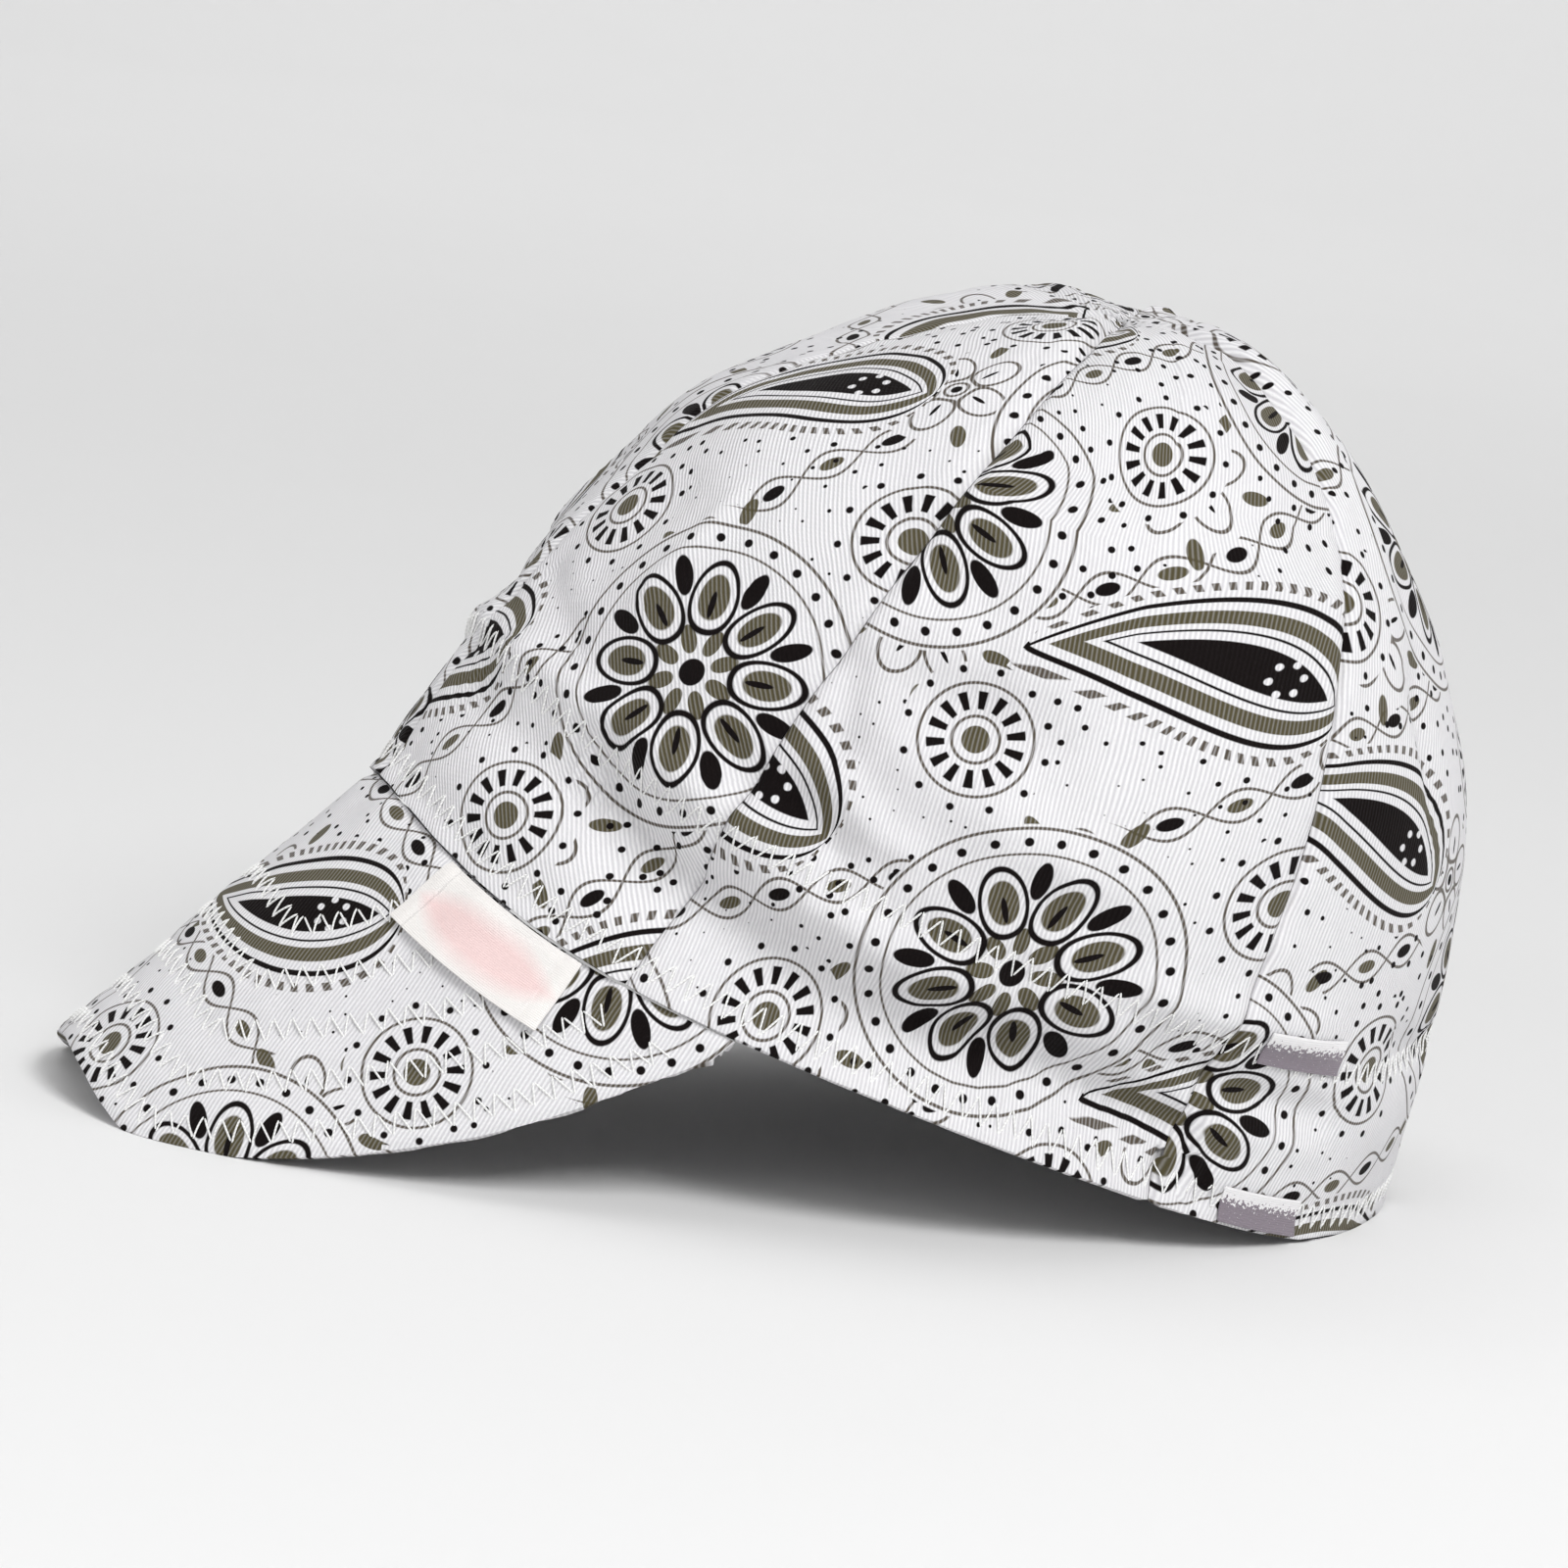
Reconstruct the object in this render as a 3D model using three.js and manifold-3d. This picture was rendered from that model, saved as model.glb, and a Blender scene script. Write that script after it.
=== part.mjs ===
// A welder's cloth cap: six sewn crown gores, a stiffened peak that droops steeply, an inner sweatband,
// a woven label at the peak's seam and two short satin tabs at the back.
// Millimetres, +Z up, the front of the cap towards -Y and the wearer's left towards +X.
// The cap is shaped upright in its own frame, with its hem near z = 0. It is then leaned back until it
// rests by itself on both sides of the peak and on the back of the hem, and the cloth there is pressed flat.
import * as THREE from "three";
import { mergeVertices } from "three/addons/utils/BufferGeometryUtils.js";
import Module from "manifold-3d";

const wasm = await Module();
wasm.setup();

// Crown
const hemLength = 216; // outside, front to back
const hemWidth = 166; // outside, ear to ear
const crownHeight = 162; // from the lowest level of the hem to the top
const topSetback = 17; // the gores meet this far behind the middle of the hem
const crownCloth = 1.4; // wall of a gore, two layers of twill
const gorePuff = 2.2; // how far a gore swells between its seams
const seamGap = 0.3; // between one piece and the next
const tipRadius = 0.8; // the gores' points stop this far from where they meet

// Sweatband
const bandHeight = 33;
const bandCloth = 1.0;
const bandInset = 2; // above the hem's edge
const bandGap = 0.6; // between the crown's cloth and the sweatband

// Peak
const peakSpan = 63; // degrees to each side of the front
const peakLength = 77.7; // from the seam to the edge, at the middle
const peakDroop = 50.5; // degrees below level, with the cap upright
const peakWall = 2.6; // two layers of twill over a stiffener

// Label on the peak
const labelLength = 36;
const labelWidth = 15.5;
const labelCloth = 0.9;
const labelSetback = 33; // from the end of the peak to the label's back end, along the seam
const labelInset = 0.7; // from the peak's seam

// Satin tabs at the back of the crown
const tabLength = 23;
const tabWidth = 6.8;
const tabCloth = 0.9;
const tabGap = 0.5; // between the crown's cloth and a tab
const tabStart = 118.3; // degrees from the front to the tabs' front end
const lowerTabRise = 0.6; // from the hem's edge to the lower tab
const upperTabRise = 32.2; // from the hem's edge to the upper tab

// Rest
const pressedFlat = 0.8; // depth of cloth that is pressed flat where it rests

// The crown's three profiles, from the hem to the top. along: share of the way up. reach: share of the
// distance from the top's place to the hem's front, side or back. rise: share of the crown's height.
// shift: how far the widest place has moved back, as a share of the top's setback. slope: how the level
// falls past the side, as a share of the crown's height. sweep: how late the level turns at the ends.
const crownRows = [
  { along: 0, frontReach: 1, frontRise: 0.281, sideReach: 0.985, sideRise: 0.066,
    backReach: 1, backRise: 0.0185, shift: 0, slope: 0.131, sweep: 6 },
  { along: 0.1, frontReach: 0.938, frontRise: 0.388, sideReach: 0.995, sideRise: 0.189,
    backReach: 1.018, backRise: 0.154, shift: 0.02, slope: 0.12, sweep: 5 },
  { along: 0.2, frontReach: 0.867, frontRise: 0.496, sideReach: 1, sideRise: 0.305,
    backReach: 1.009, backRise: 0.28, shift: 0.06, slope: 0.095, sweep: 3.8 },
  { along: 0.3, frontReach: 0.794, frontRise: 0.603, sideReach: 0.995, sideRise: 0.422,
    backReach: 0.982, backRise: 0.407, shift: 0.14, slope: 0.08, sweep: 3 },
  { along: 0.4, frontReach: 0.704, frontRise: 0.7, sideReach: 0.98, sideRise: 0.54,
    backReach: 0.93, backRise: 0.529, shift: 0.25, slope: 0.065, sweep: 2.6 },
  { along: 0.5, frontReach: 0.618, frontRise: 0.789, sideReach: 0.95, sideRise: 0.655,
    backReach: 0.837, backRise: 0.648, shift: 0.375, slope: 0.05, sweep: 2.4 },
  { along: 0.6, frontReach: 0.513, frontRise: 0.846, sideReach: 0.89, sideRise: 0.765,
    backReach: 0.738, backRise: 0.73, shift: 0.5, slope: 0.035, sweep: 2.4 },
  { along: 0.7, frontReach: 0.402, frontRise: 0.89, sideReach: 0.79, sideRise: 0.862,
    backReach: 0.591, backRise: 0.829, shift: 0.63, slope: 0.02, sweep: 2.4 },
  { along: 0.8, frontReach: 0.285, frontRise: 0.929, sideReach: 0.62, sideRise: 0.937,
    backReach: 0.414, backRise: 0.916, shift: 0.77, slope: 0.01, sweep: 2.4 },
  { along: 0.9, frontReach: 0.146, frontRise: 0.967, sideReach: 0.36, sideRise: 0.985,
    backReach: 0.212, backRise: 0.985, shift: 0.9, slope: 0.003, sweep: 2.4 },
  { along: 1, frontReach: 0, frontRise: 1, sideReach: 0, sideRise: 1,
    backReach: 0, backRise: 1, shift: 1, slope: 0, sweep: 2.4 },
];

// The seams, in degrees from the front, on the wearer's left; the right side mirrors them.
const seams = [
  { name: "front", atHem: 0, atTop: 0 },
  { name: "brow", atHem: 50, atTop: 57 },
  { name: "nape", atHem: 110, atTop: 135 },
  { name: "back", atHem: 180, atTop: 180 },
];

// The gores between the seams.
const gores = [
  { name: "front", from: 0, to: 1 },
  { name: "side", from: 1, to: 2 },
  { name: "back", from: 2, to: 3 },
];

// Dents and ridges of the worn cloth, the same on both sides. around: degrees from the front. along: share
// of the way up. depth: share of the sweatband's height, with a ridge below nought. wide and tall: reach.
const folds = [
  { name: "waist under the stitched row", around: 92, along: 0.1, depth: 0.04, wide: 34, tall: 0.05 },
  { name: "brow hollow above the peak's end", around: 58, along: 0.13, depth: 0.07, wide: 9, tall: 0.06 },
  { name: "bulge in front of the brow seam", around: 44, along: 0.24, depth: -0.045, wide: 10, tall: 0.09 },
  { name: "trough behind the brow seam", around: 70, along: 0.3, depth: 0.045, wide: 6, tall: 0.11 },
  { name: "crease under the upper tab", around: 112, along: 0.15, depth: 0.035, wide: 9, tall: 0.05 },
  { name: "roll behind the nape seam", around: 139, along: 0.8, depth: -0.075, wide: 7, tall: 0.16 },
  { name: "dimple where the gores meet", around: 90, along: 1, depth: 0.045, wide: 400, tall: 0.09 },
  { name: "hollow before the roll", around: 120, along: 0.84, depth: 0.035, wide: 9, tall: 0.12 },
];

// The peak's edge. across: share of the span to one side. length: share of the peak's length.
const peakRows = [
  { across: 0.0, length: 1.0 },
  { across: 0.16, length: 1.01 },
  { across: 0.3, length: 1.025 },
  { across: 0.4, length: 1.02 },
  { across: 0.52, length: 0.94 },
  { across: 0.64, length: 0.81 },
  { across: 0.76, length: 0.645 },
  { across: 0.88, length: 0.425 },
  { across: 1.0, length: 0.07 },
];

// Fineness of the faceted solids
const goreColumns = 12;
const goreRows = 18;
const peakColumns = 36;
const peakRowsOut = 8;
const bandColumns = 84;
const bandRows = 6;
const trimColumns = 8;
const trimRows = 2;

const degrees = THREE.MathUtils.degToRad;
const smooth = THREE.MathUtils.smoothstep;

// A value of a table at a share between its rows, on a smooth curve through them.
function readTable(rows, key, share, column) {
  let i = 0;
  while (i < rows.length - 2 && rows[i + 1][key] < share) i += 1;
  const [a, b] = [rows[i], rows[i + 1]];
  const width = b[key] - a[key];
  const before = rows[i - 1];
  const after = rows[i + 2];
  const chord = (b[column] - a[column]) / width;
  const slopeA = before ? (b[column] - before[column]) / (b[key] - before[key]) : chord;
  const slopeB = after ? (after[column] - a[column]) / (after[key] - a[key]) : chord;
  const t = (share - a[key]) / width;
  return (
    a[column] * (2 * t ** 3 - 3 * t ** 2 + 1) +
    slopeA * width * (t ** 3 - 2 * t ** 2 + t) +
    b[column] * (3 * t ** 2 - 2 * t ** 3) +
    slopeB * width * (t ** 3 - t ** 2)
  );
}

// A point of the smooth crown, without swell or folds. angle: degrees from the front, left side positive.
function plainCrownPoint(angle, along) {
  const value = (column) => readTable(crownRows, "along", along, column);
  const cosine = Math.cos(degrees(angle));
  const facing = cosine > 0 ? "front" : "back";
  const halfLength = hemLength / 2;
  const widestY = topSetback * value("shift");
  const endY =
    facing === "front"
      ? topSetback - value("frontReach") * (halfLength + topSetback)
      : topSetback + value("backReach") * (halfLength - topSetback);
  const endShare = Math.abs(cosine);
  const level = value("sideRise") + value("slope") * cosine;
  const levelAtEnd = value("sideRise") + value("slope") * Math.sign(cosine);
  const rise = level + (value(facing + "Rise") - levelAtEnd) * endShare ** value("sweep");
  return new THREE.Vector3(
    (hemWidth / 2) * value("sideReach") * Math.sin(degrees(angle)),
    widestY + (endY - widestY) * endShare,
    crownHeight * rise,
  );
}

function seamAngle(index, along) {
  return THREE.MathUtils.lerp(seams[index].atHem, seams[index].atTop, along);
}

// The outward normal of a surface of two shares, by small steps to both sides.
function normalOf(surface, u, v) {
  const step = 1e-3;
  const alongU = surface(u + step, v).sub(surface(u - step, v));
  const alongV = surface(u, v + step).sub(surface(u, v - step));
  return alongU.cross(alongV).normalize();
}

// How far the folds press the cloth in at a place.
function foldDepth(angle, along) {
  return folds.reduce((sum, fold) => {
    const aside = (Math.abs(angle) - fold.around) / fold.wide;
    const above = (along - fold.along) / fold.tall;
    return sum + fold.depth * bandHeight * Math.exp(-(aside ** 2) - above ** 2);
  }, 0);
}

// How far a gore swells at a share of its width; it lies flat on the sweatband and at the top.
function swell(across, along) {
  const share = THREE.MathUtils.clamp(across, 0, 1);
  const upward = smooth(along, 0.08, 0.4) * (1 - smooth(along, 0.86, 1));
  return gorePuff * Math.sin(Math.PI * share) ** 0.8 * upward;
}

// A point of the crown's outer face, moved out by a distance and in by the folds.
function crownPoint(angle, along, out) {
  const normal = normalOf((u, v) => plainCrownPoint(u * 360, v), angle / 360, along);
  return plainCrownPoint(angle, along).addScaledVector(normal, out - foldDepth(angle, along));
}

// A point of one gore, across its width and along its height, clear of its seams.
function gorePoint(gore, side, across, along, out) {
  const ends = [seamAngle(gore.from, along), seamAngle(gore.to, along)];
  const start = angleAt(ends[0], along, seamGap / 2);
  const end = angleAt(ends[1], along, -seamGap / 2);
  const angle = THREE.MathUtils.lerp(start, end, across);
  return crownPoint(side * angle, along, swell(across, along) + out);
}

// The height share that lies a distance above the hem's edge at an angle.
function alongAt(angle, distance) {
  const step = 0.01;
  const perShare = plainCrownPoint(angle, step).distanceTo(plainCrownPoint(angle, 0)) / step;
  return distance / perShare;
}

// The angle that lies a distance further round than another, at a height share.
function angleAt(angle, along, distance) {
  const perDegree = plainCrownPoint(angle + 0.5, along).distanceTo(plainCrownPoint(angle - 0.5, along));
  return angle + distance / perDegree;
}

// A closed wall between two faces. place gives the point at u across and v up, moved out by a distance.
// A closed ring has no side faces. Seen from outside, u runs to the right where v runs up.
function wall(place, columns, rows, outerFace, innerFace, ring = false) {
  const stations = ring ? columns : columns + 1;
  const places = [];
  for (const out of [outerFace, innerFace])
    for (let j = 0; j <= rows; j += 1)
      for (let i = 0; i < stations; i += 1) places.push(place(i / columns, j / rows, out));
  const inner = stations * (rows + 1);
  const at = (i, j) => j * stations + (ring ? i % columns : i);
  const corners = [];
  const quad = (a, b, c, d) => corners.push(a, b, c, a, c, d);
  for (let j = 0; j < rows; j += 1)
    for (let i = 0; i < columns; i += 1) {
      const [a, b, c, d] = [at(i, j), at(i + 1, j), at(i + 1, j + 1), at(i, j + 1)];
      quad(a, b, c, d);
      quad(inner + d, inner + c, inner + b, inner + a);
    }
  for (let i = 0; i < columns; i += 1) {
    quad(inner + at(i, 0), inner + at(i + 1, 0), at(i + 1, 0), at(i, 0));
    quad(at(i, rows), at(i + 1, rows), inner + at(i + 1, rows), inner + at(i, rows));
  }
  if (!ring)
    for (let j = 0; j < rows; j += 1) {
      quad(at(0, j), at(0, j + 1), inner + at(0, j + 1), inner + at(0, j));
      quad(inner + at(columns, j), inner + at(columns, j + 1), at(columns, j + 1), at(columns, j));
    }
  const geometry = new THREE.BufferGeometry();
  geometry.setAttribute("position", new THREE.Float32BufferAttribute(places.flatMap((p) => p.toArray()), 3));
  geometry.setIndex(corners);
  return geometry;
}

// Gore
const topStop = 1 - tipRadius / (hemWidth / 2);

function goreGeometry(gore, side) {
  const place = (u, v, out) => gorePoint(gore, side, side > 0 ? u : 1 - u, v * topStop, out);
  return wall(place, goreColumns, goreRows, 0, -crownCloth);
}

// Sweatband
function bandGeometry() {
  const place = (u, v, out) => {
    const angle = 360 * u > 180 ? 360 * u - 360 : 360 * u;
    return crownPoint(angle, alongAt(angle, bandInset + v * bandHeight), out);
  };
  const outerFace = -crownCloth - bandGap;
  return wall(place, bandColumns, bandRows, outerFace, outerFace - bandCloth, true);
}

// Peak
const peakWay = new THREE.Vector3(0, -Math.cos(degrees(peakDroop)), -Math.sin(degrees(peakDroop)));
const peakClearance = 1.5 * seamGap; // measured down the slanting peak, so that its root clears the hem

function peakPoint(angle, distance) {
  return crownPoint(angle, 0, 0).addScaledVector(peakWay, peakClearance + distance);
}

function peakReach(angle) {
  return peakLength * readTable(peakRows, "across", Math.abs(angle) / peakSpan, "length");
}

// A surface's point, moved out by a distance along the surface's normal.
function movedOut(surface) {
  return (u, v, out) => surface(u, v).addScaledVector(normalOf(surface, u, v), out);
}

function peakGeometry() {
  const surface = (u, v) => {
    const share = THREE.MathUtils.clamp(1 - 2 * u, -1, 1);
    return peakPoint(peakSpan * (1 - 2 * u), v * peakReach(peakSpan * share));
  };
  return wall(movedOut(surface), peakColumns, peakRowsOut, 0, -peakWall);
}

// A point of the peak that lies a distance from the seam, measured square to the seam.
function squarePeakPoint(angle, distance) {
  const along = crownPoint(angle + 0.5, 0, 0).sub(crownPoint(angle - 0.5, 0, 0));
  const perDegree = along.length();
  along.divideScalar(perDegree);
  const slant = peakWay.dot(along);
  const down = distance / Math.sqrt(1 - slant ** 2);
  return peakPoint(angle - (down * slant) / perDegree, down);
}

// Label
function labelGeometry() {
  const end = angleAt(peakSpan, 0, -labelSetback);
  const start = angleAt(end, 0, -labelLength);
  const surface = (u, v) => {
    const angle = THREE.MathUtils.lerp(end, start, u);
    return squarePeakPoint(angle, labelInset + v * labelWidth);
  };
  return wall(movedOut(surface), trimColumns, trimRows, seamGap + labelCloth, seamGap);
}

// Satin tab
function tabGeometry(rise) {
  const gore = gores[2];
  const place = (u, v, out) => {
    const along = alongAt(tabStart, rise + v * tabWidth);
    const angle = angleAt(tabStart, along, u * tabLength);
    const ends = [seamAngle(gore.from, along), seamAngle(gore.to, along)];
    const across = (angle - ends[0]) / (ends[1] - ends[0]);
    return crownPoint(angle, along, swell(across, along) + out);
  };
  return wall(place, trimColumns, trimRows, tabGap + tabCloth, tabGap);
}

// Rest: the lean at which the lowest places of the peak and of the hem are level.
function lowestOf(points, lean) {
  return Math.min(...points.map((p) => p.z * Math.cos(lean) - p.y * Math.sin(lean)));
}

function restingLean() {
  const hem = [];
  for (let angle = peakSpan; angle <= 180; angle += 2) hem.push(crownPoint(angle, 0, 0));
  const edge = [];
  for (let angle = 0; angle <= peakSpan; angle += 0.5) edge.push(peakPoint(angle, peakReach(angle)));
  let [low, high] = [degrees(-30), degrees(60)];
  for (let i = 0; i < 40; i += 1) {
    const lean = (low + high) / 2;
    if (lowestOf(edge, lean) < lowestOf(hem, lean)) low = lean;
    else high = lean;
  }
  return { lean: low, floor: lowestOf(hem, low) + pressedFlat };
}

const rest = restingLean();

// Presses a piece flat where the surface that the cap stands on would cut it.
function pressFlat(geometry) {
  const merged = mergeVertices(geometry, 1e-3);
  const solid = new wasm.Manifold(
    new wasm.Mesh({
      numProp: 3,
      vertProperties: merged.attributes.position.array,
      triVerts: new Uint32Array(merged.index.array),
    }),
  );
  const up = [0, -Math.sin(rest.lean), Math.cos(rest.lean)];
  const cut = solid.trimByPlane(up, rest.floor).getMesh();
  const pressed = new THREE.BufferGeometry();
  pressed.setAttribute("position", new THREE.Float32BufferAttribute(cut.vertProperties, 3));
  pressed.setIndex(new THREE.BufferAttribute(cut.triVerts, 1));
  return pressed;
}

// Materials
const twill = new THREE.MeshStandardMaterial({ color: 0xe9e7e3, roughness: 0.92, metalness: 0 });
const plainTwill = new THREE.MeshStandardMaterial({ color: 0xe4e1db, roughness: 0.95, metalness: 0 });
const wovenLabel = new THREE.MeshStandardMaterial({ color: 0xf4ece8, roughness: 0.6, metalness: 0 });
const satin = new THREE.MeshStandardMaterial({ color: 0xaba3ab, roughness: 0.35, metalness: 0 });

// The cap
const upright = new THREE.Group();

function addPiece(name, geometry, material) {
  const mesh = new THREE.Mesh(geometry, material);
  mesh.name = name;
  upright.add(mesh);
}

for (const side of [1, -1])
  for (const gore of gores) {
    const name = gore.name + "_gore_" + (side > 0 ? "left" : "right");
    addPiece(name, pressFlat(goreGeometry(gore, side)), twill);
  }
addPiece("peak", pressFlat(peakGeometry()), twill);
addPiece("sweatband", bandGeometry(), plainTwill);
addPiece("peak_label", labelGeometry(), wovenLabel);
addPiece("satin_tab_lower", tabGeometry(lowerTabRise), satin);
addPiece("satin_tab_upper", tabGeometry(upperTabRise), satin);

// Leaned back to rest, and set down with the middle of its outline at the origin
upright.rotation.x = -rest.lean;
const cap = new THREE.Group();
cap.add(upright);
cap.updateMatrixWorld(true);
const outline = new THREE.Box3().setFromObject(cap, true);
upright.position.set(0, -(outline.min.y + outline.max.y) / 2, -outline.min.z);

export default cap;
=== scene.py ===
"""A welder's cloth cap of printed twill, resting on a pale studio floor.

Lengths are in millimetres and angles in degrees until a mesh is written, which is in metres. The cap is
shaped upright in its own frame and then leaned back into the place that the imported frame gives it.
"""

import logging
import math
from dataclasses import dataclass, field
from enum import Enum
from typing import Callable

import bpy
import numpy as np
from mathutils import Matrix, Vector, noise


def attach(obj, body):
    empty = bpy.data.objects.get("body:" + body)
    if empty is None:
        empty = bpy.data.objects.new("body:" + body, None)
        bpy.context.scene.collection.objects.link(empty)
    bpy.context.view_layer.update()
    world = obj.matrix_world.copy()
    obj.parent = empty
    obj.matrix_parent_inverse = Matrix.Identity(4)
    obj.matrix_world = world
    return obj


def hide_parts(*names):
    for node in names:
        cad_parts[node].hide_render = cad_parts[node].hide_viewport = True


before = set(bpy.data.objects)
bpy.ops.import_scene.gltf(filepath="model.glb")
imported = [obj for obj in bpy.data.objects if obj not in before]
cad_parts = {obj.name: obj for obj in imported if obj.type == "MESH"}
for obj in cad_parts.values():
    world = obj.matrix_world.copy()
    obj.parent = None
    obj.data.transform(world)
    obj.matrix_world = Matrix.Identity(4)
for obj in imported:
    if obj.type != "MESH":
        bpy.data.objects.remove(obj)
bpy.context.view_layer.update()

log = logging.getLogger("cap")
MM = 0.001
CLOTH_UV = "cloth"
FAR = 1e9

# Steps along each stretch of a crease, and the millimetres of a degree round the hem
LINE_STEPS = 8
MEAN_PER_DEGREE = 1.7

# The crown's three profiles, from the hem to the top, with the same columns as the solids
CROWN_TABLE = {
    "along": (0.0, 0.1, 0.2, 0.3, 0.4, 0.5, 0.6, 0.7, 0.8, 0.9, 1.0),
    "front_reach": (1.0, 0.938, 0.867, 0.794, 0.704, 0.618, 0.513, 0.402, 0.285, 0.146, 0.0),
    "front_rise": (0.281, 0.388, 0.496, 0.603, 0.7, 0.789, 0.846, 0.89, 0.929, 0.967, 1.0),
    "side_reach": (0.985, 0.995, 1.0, 0.995, 0.98, 0.95, 0.89, 0.79, 0.62, 0.36, 0.0),
    "side_rise": (0.066, 0.189, 0.305, 0.422, 0.54, 0.655, 0.765, 0.862, 0.937, 0.985, 1.0),
    "back_reach": (1.0, 1.018, 1.009, 0.982, 0.93, 0.837, 0.738, 0.591, 0.414, 0.212, 0.0),
    "back_rise": (0.0185, 0.154, 0.28, 0.407, 0.529, 0.648, 0.73, 0.829, 0.916, 0.985, 1.0),
    "shift": (0.0, 0.02, 0.06, 0.14, 0.25, 0.375, 0.5, 0.63, 0.77, 0.9, 1.0),
    "slope": (0.131, 0.12, 0.095, 0.08, 0.065, 0.05, 0.035, 0.02, 0.01, 0.003, 0.0),
    "sweep": (6.0, 5.0, 3.8, 3.0, 2.6, 2.4, 2.4, 2.4, 2.4, 2.4, 2.4),
}

# The peak's edge: length is a share of the peak's length at a share of the span to one side
PEAK_TABLE = {
    "across": (0.0, 0.16, 0.3, 0.4, 0.52, 0.64, 0.76, 0.88, 1.0),
    "length": (1.0, 1.01, 1.025, 1.02, 0.94, 0.81, 0.645, 0.425, 0.07),
}


class Side(Enum):
    """The wearer's side that a piece lies on, as the sign of its angle from the front."""

    LEFT = 1
    RIGHT = -1


def read_table(table: dict, key: str, column: str, share: np.ndarray) -> np.ndarray:
    """Reads a column of a table on a smooth curve through its rows.

    Args:
        table: The columns by name.
        key: The column that the share is a value of.
        column: The column to read.
        share: Where to read it.

    Returns:
        The values, one for each share.
    """
    keys, values = np.array(table[key]), np.array(table[column])
    slopes = np.gradient(values, keys)
    slopes[1:-1] = (values[2:] - values[:-2]) / (keys[2:] - keys[:-2])
    i = np.clip(np.searchsorted(keys, share, side="right") - 1, 0, len(keys) - 2)
    width = keys[i + 1] - keys[i]
    t = (share - keys[i]) / width
    return (
        values[i] * (2 * t**3 - 3 * t**2 + 1)
        + slopes[i] * width * (t**3 - 2 * t**2 + t)
        + values[i + 1] * (3 * t**2 - 2 * t**3)
        + slopes[i + 1] * width * (t**3 - t**2)
    )


def smooth_step(value: np.ndarray, low: float, high: float) -> np.ndarray:
    """Rises smoothly from 0 at low to 1 at high."""
    t = np.clip((value - low) / (high - low), 0, 1)
    return t * t * (3 - 2 * t)


def bump(value: np.ndarray, width: float) -> np.ndarray:
    """A soft bell, 1 at nought, that fades within about twice the width."""
    return np.exp(-((value / width) ** 2))


def soft_noise(a: np.ndarray, b: np.ndarray, seed: float) -> np.ndarray:
    """Gentle random waves over two coordinates, from about -1 to 1.

    Args:
        a: The first coordinate, in wavelengths.
        b: The second coordinate, in wavelengths.
        seed: Which waves.

    Returns:
        The waves' heights.
    """
    return np.array([noise.noise(Vector((p, q, seed))) for p, q in zip(a, b)])


@dataclass(frozen=True)
class Fold:
    """A dent or, with a depth below nought, a ridge in the crown's cloth, alike on both sides.

    It lies some degrees around from the front and a share along the way up.
    """

    around: float
    along: float
    depth: float
    wide: float
    tall: float
    tilt: float = 0.0

    def depth_at(self, angle: np.ndarray, along: np.ndarray) -> np.ndarray:
        """How far the fold presses the cloth in.

        Args:
            angle: Degrees from the front, the wearer's left positive.
            along: Share of the way up the crown.

        Returns:
            The depth at each place.
        """
        total = np.zeros_like(angle)
        for side in Side:
            above = along - self.along
            aside = side.value * angle - self.around - self.tilt * above
            total += self.depth * bump(aside, self.wide) * bump(above, self.tall)
        return total


@dataclass(frozen=True)
class Crease:
    """A long hollow or, with a depth below nought, a roll that follows a line over the crown's cloth.

    Its places are pairs of degrees from the front and millimetres above the hem. It fades in over a
    distance at both ends, and below the line it is wider by the spread.
    """

    places: tuple
    depth: float
    wide: float
    fade: float = 12.0
    spread: float = 1.0

    def depth_at(self, angle: np.ndarray, height: np.ndarray, per_degree: np.ndarray) -> np.ndarray:
        """How far the crease presses the cloth in.

        Args:
            angle: Degrees from the front, the wearer's left positive.
            height: Millimetres above the hem's edge.
            per_degree: Millimetres round the crown for each degree.

        Returns:
            The depth at each place.
        """
        total = np.zeros_like(angle)
        line = np.array(self.places, dtype=float)
        shares = np.linspace(0, 1, LINE_STEPS * (len(line) - 1) + 1)
        knots = np.linspace(0, 1, len(line))
        around, up = (np.interp(shares, knots, line[:, i]) for i in range(2))
        steps = np.hypot(np.diff(around) * MEAN_PER_DEGREE, np.diff(up))
        run = np.concatenate([[0], np.cumsum(steps)])
        strength = smooth_step(np.minimum(run, run[-1] - run), 0, self.fade)
        for side in Side:
            best = np.full_like(angle, FAR)
            here = np.zeros_like(angle)
            for place_around, place_up, place_strength in zip(around, up, strength):
                aside = (side.value * angle - place_around) * per_degree
                above = height - place_up
                gap = np.hypot(aside, np.where(above < 0, above / self.spread, above))
                nearer = gap < best
                best = np.where(nearer, gap, best)
                here = np.where(nearer, place_strength, here)
            total += self.depth * here * bump(best, self.wide)
        return total


# The folds that the solids have too
MAIN_FOLDS = (
    Fold(92, 0.1, 1.32, 34, 0.05),
    Fold(58, 0.13, 2.31, 9, 0.06),
    Fold(44, 0.24, -1.49, 10, 0.09),
    Fold(70, 0.3, 1.49, 6, 0.11),
    Fold(112, 0.15, 1.16, 9, 0.05),
    Fold(139, 0.8, -2.48, 7, 0.16),
    Fold(0, 1.0, 1.49, 400, 0.09),
    Fold(120, 0.84, 1.16, 9, 0.12),
)

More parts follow.
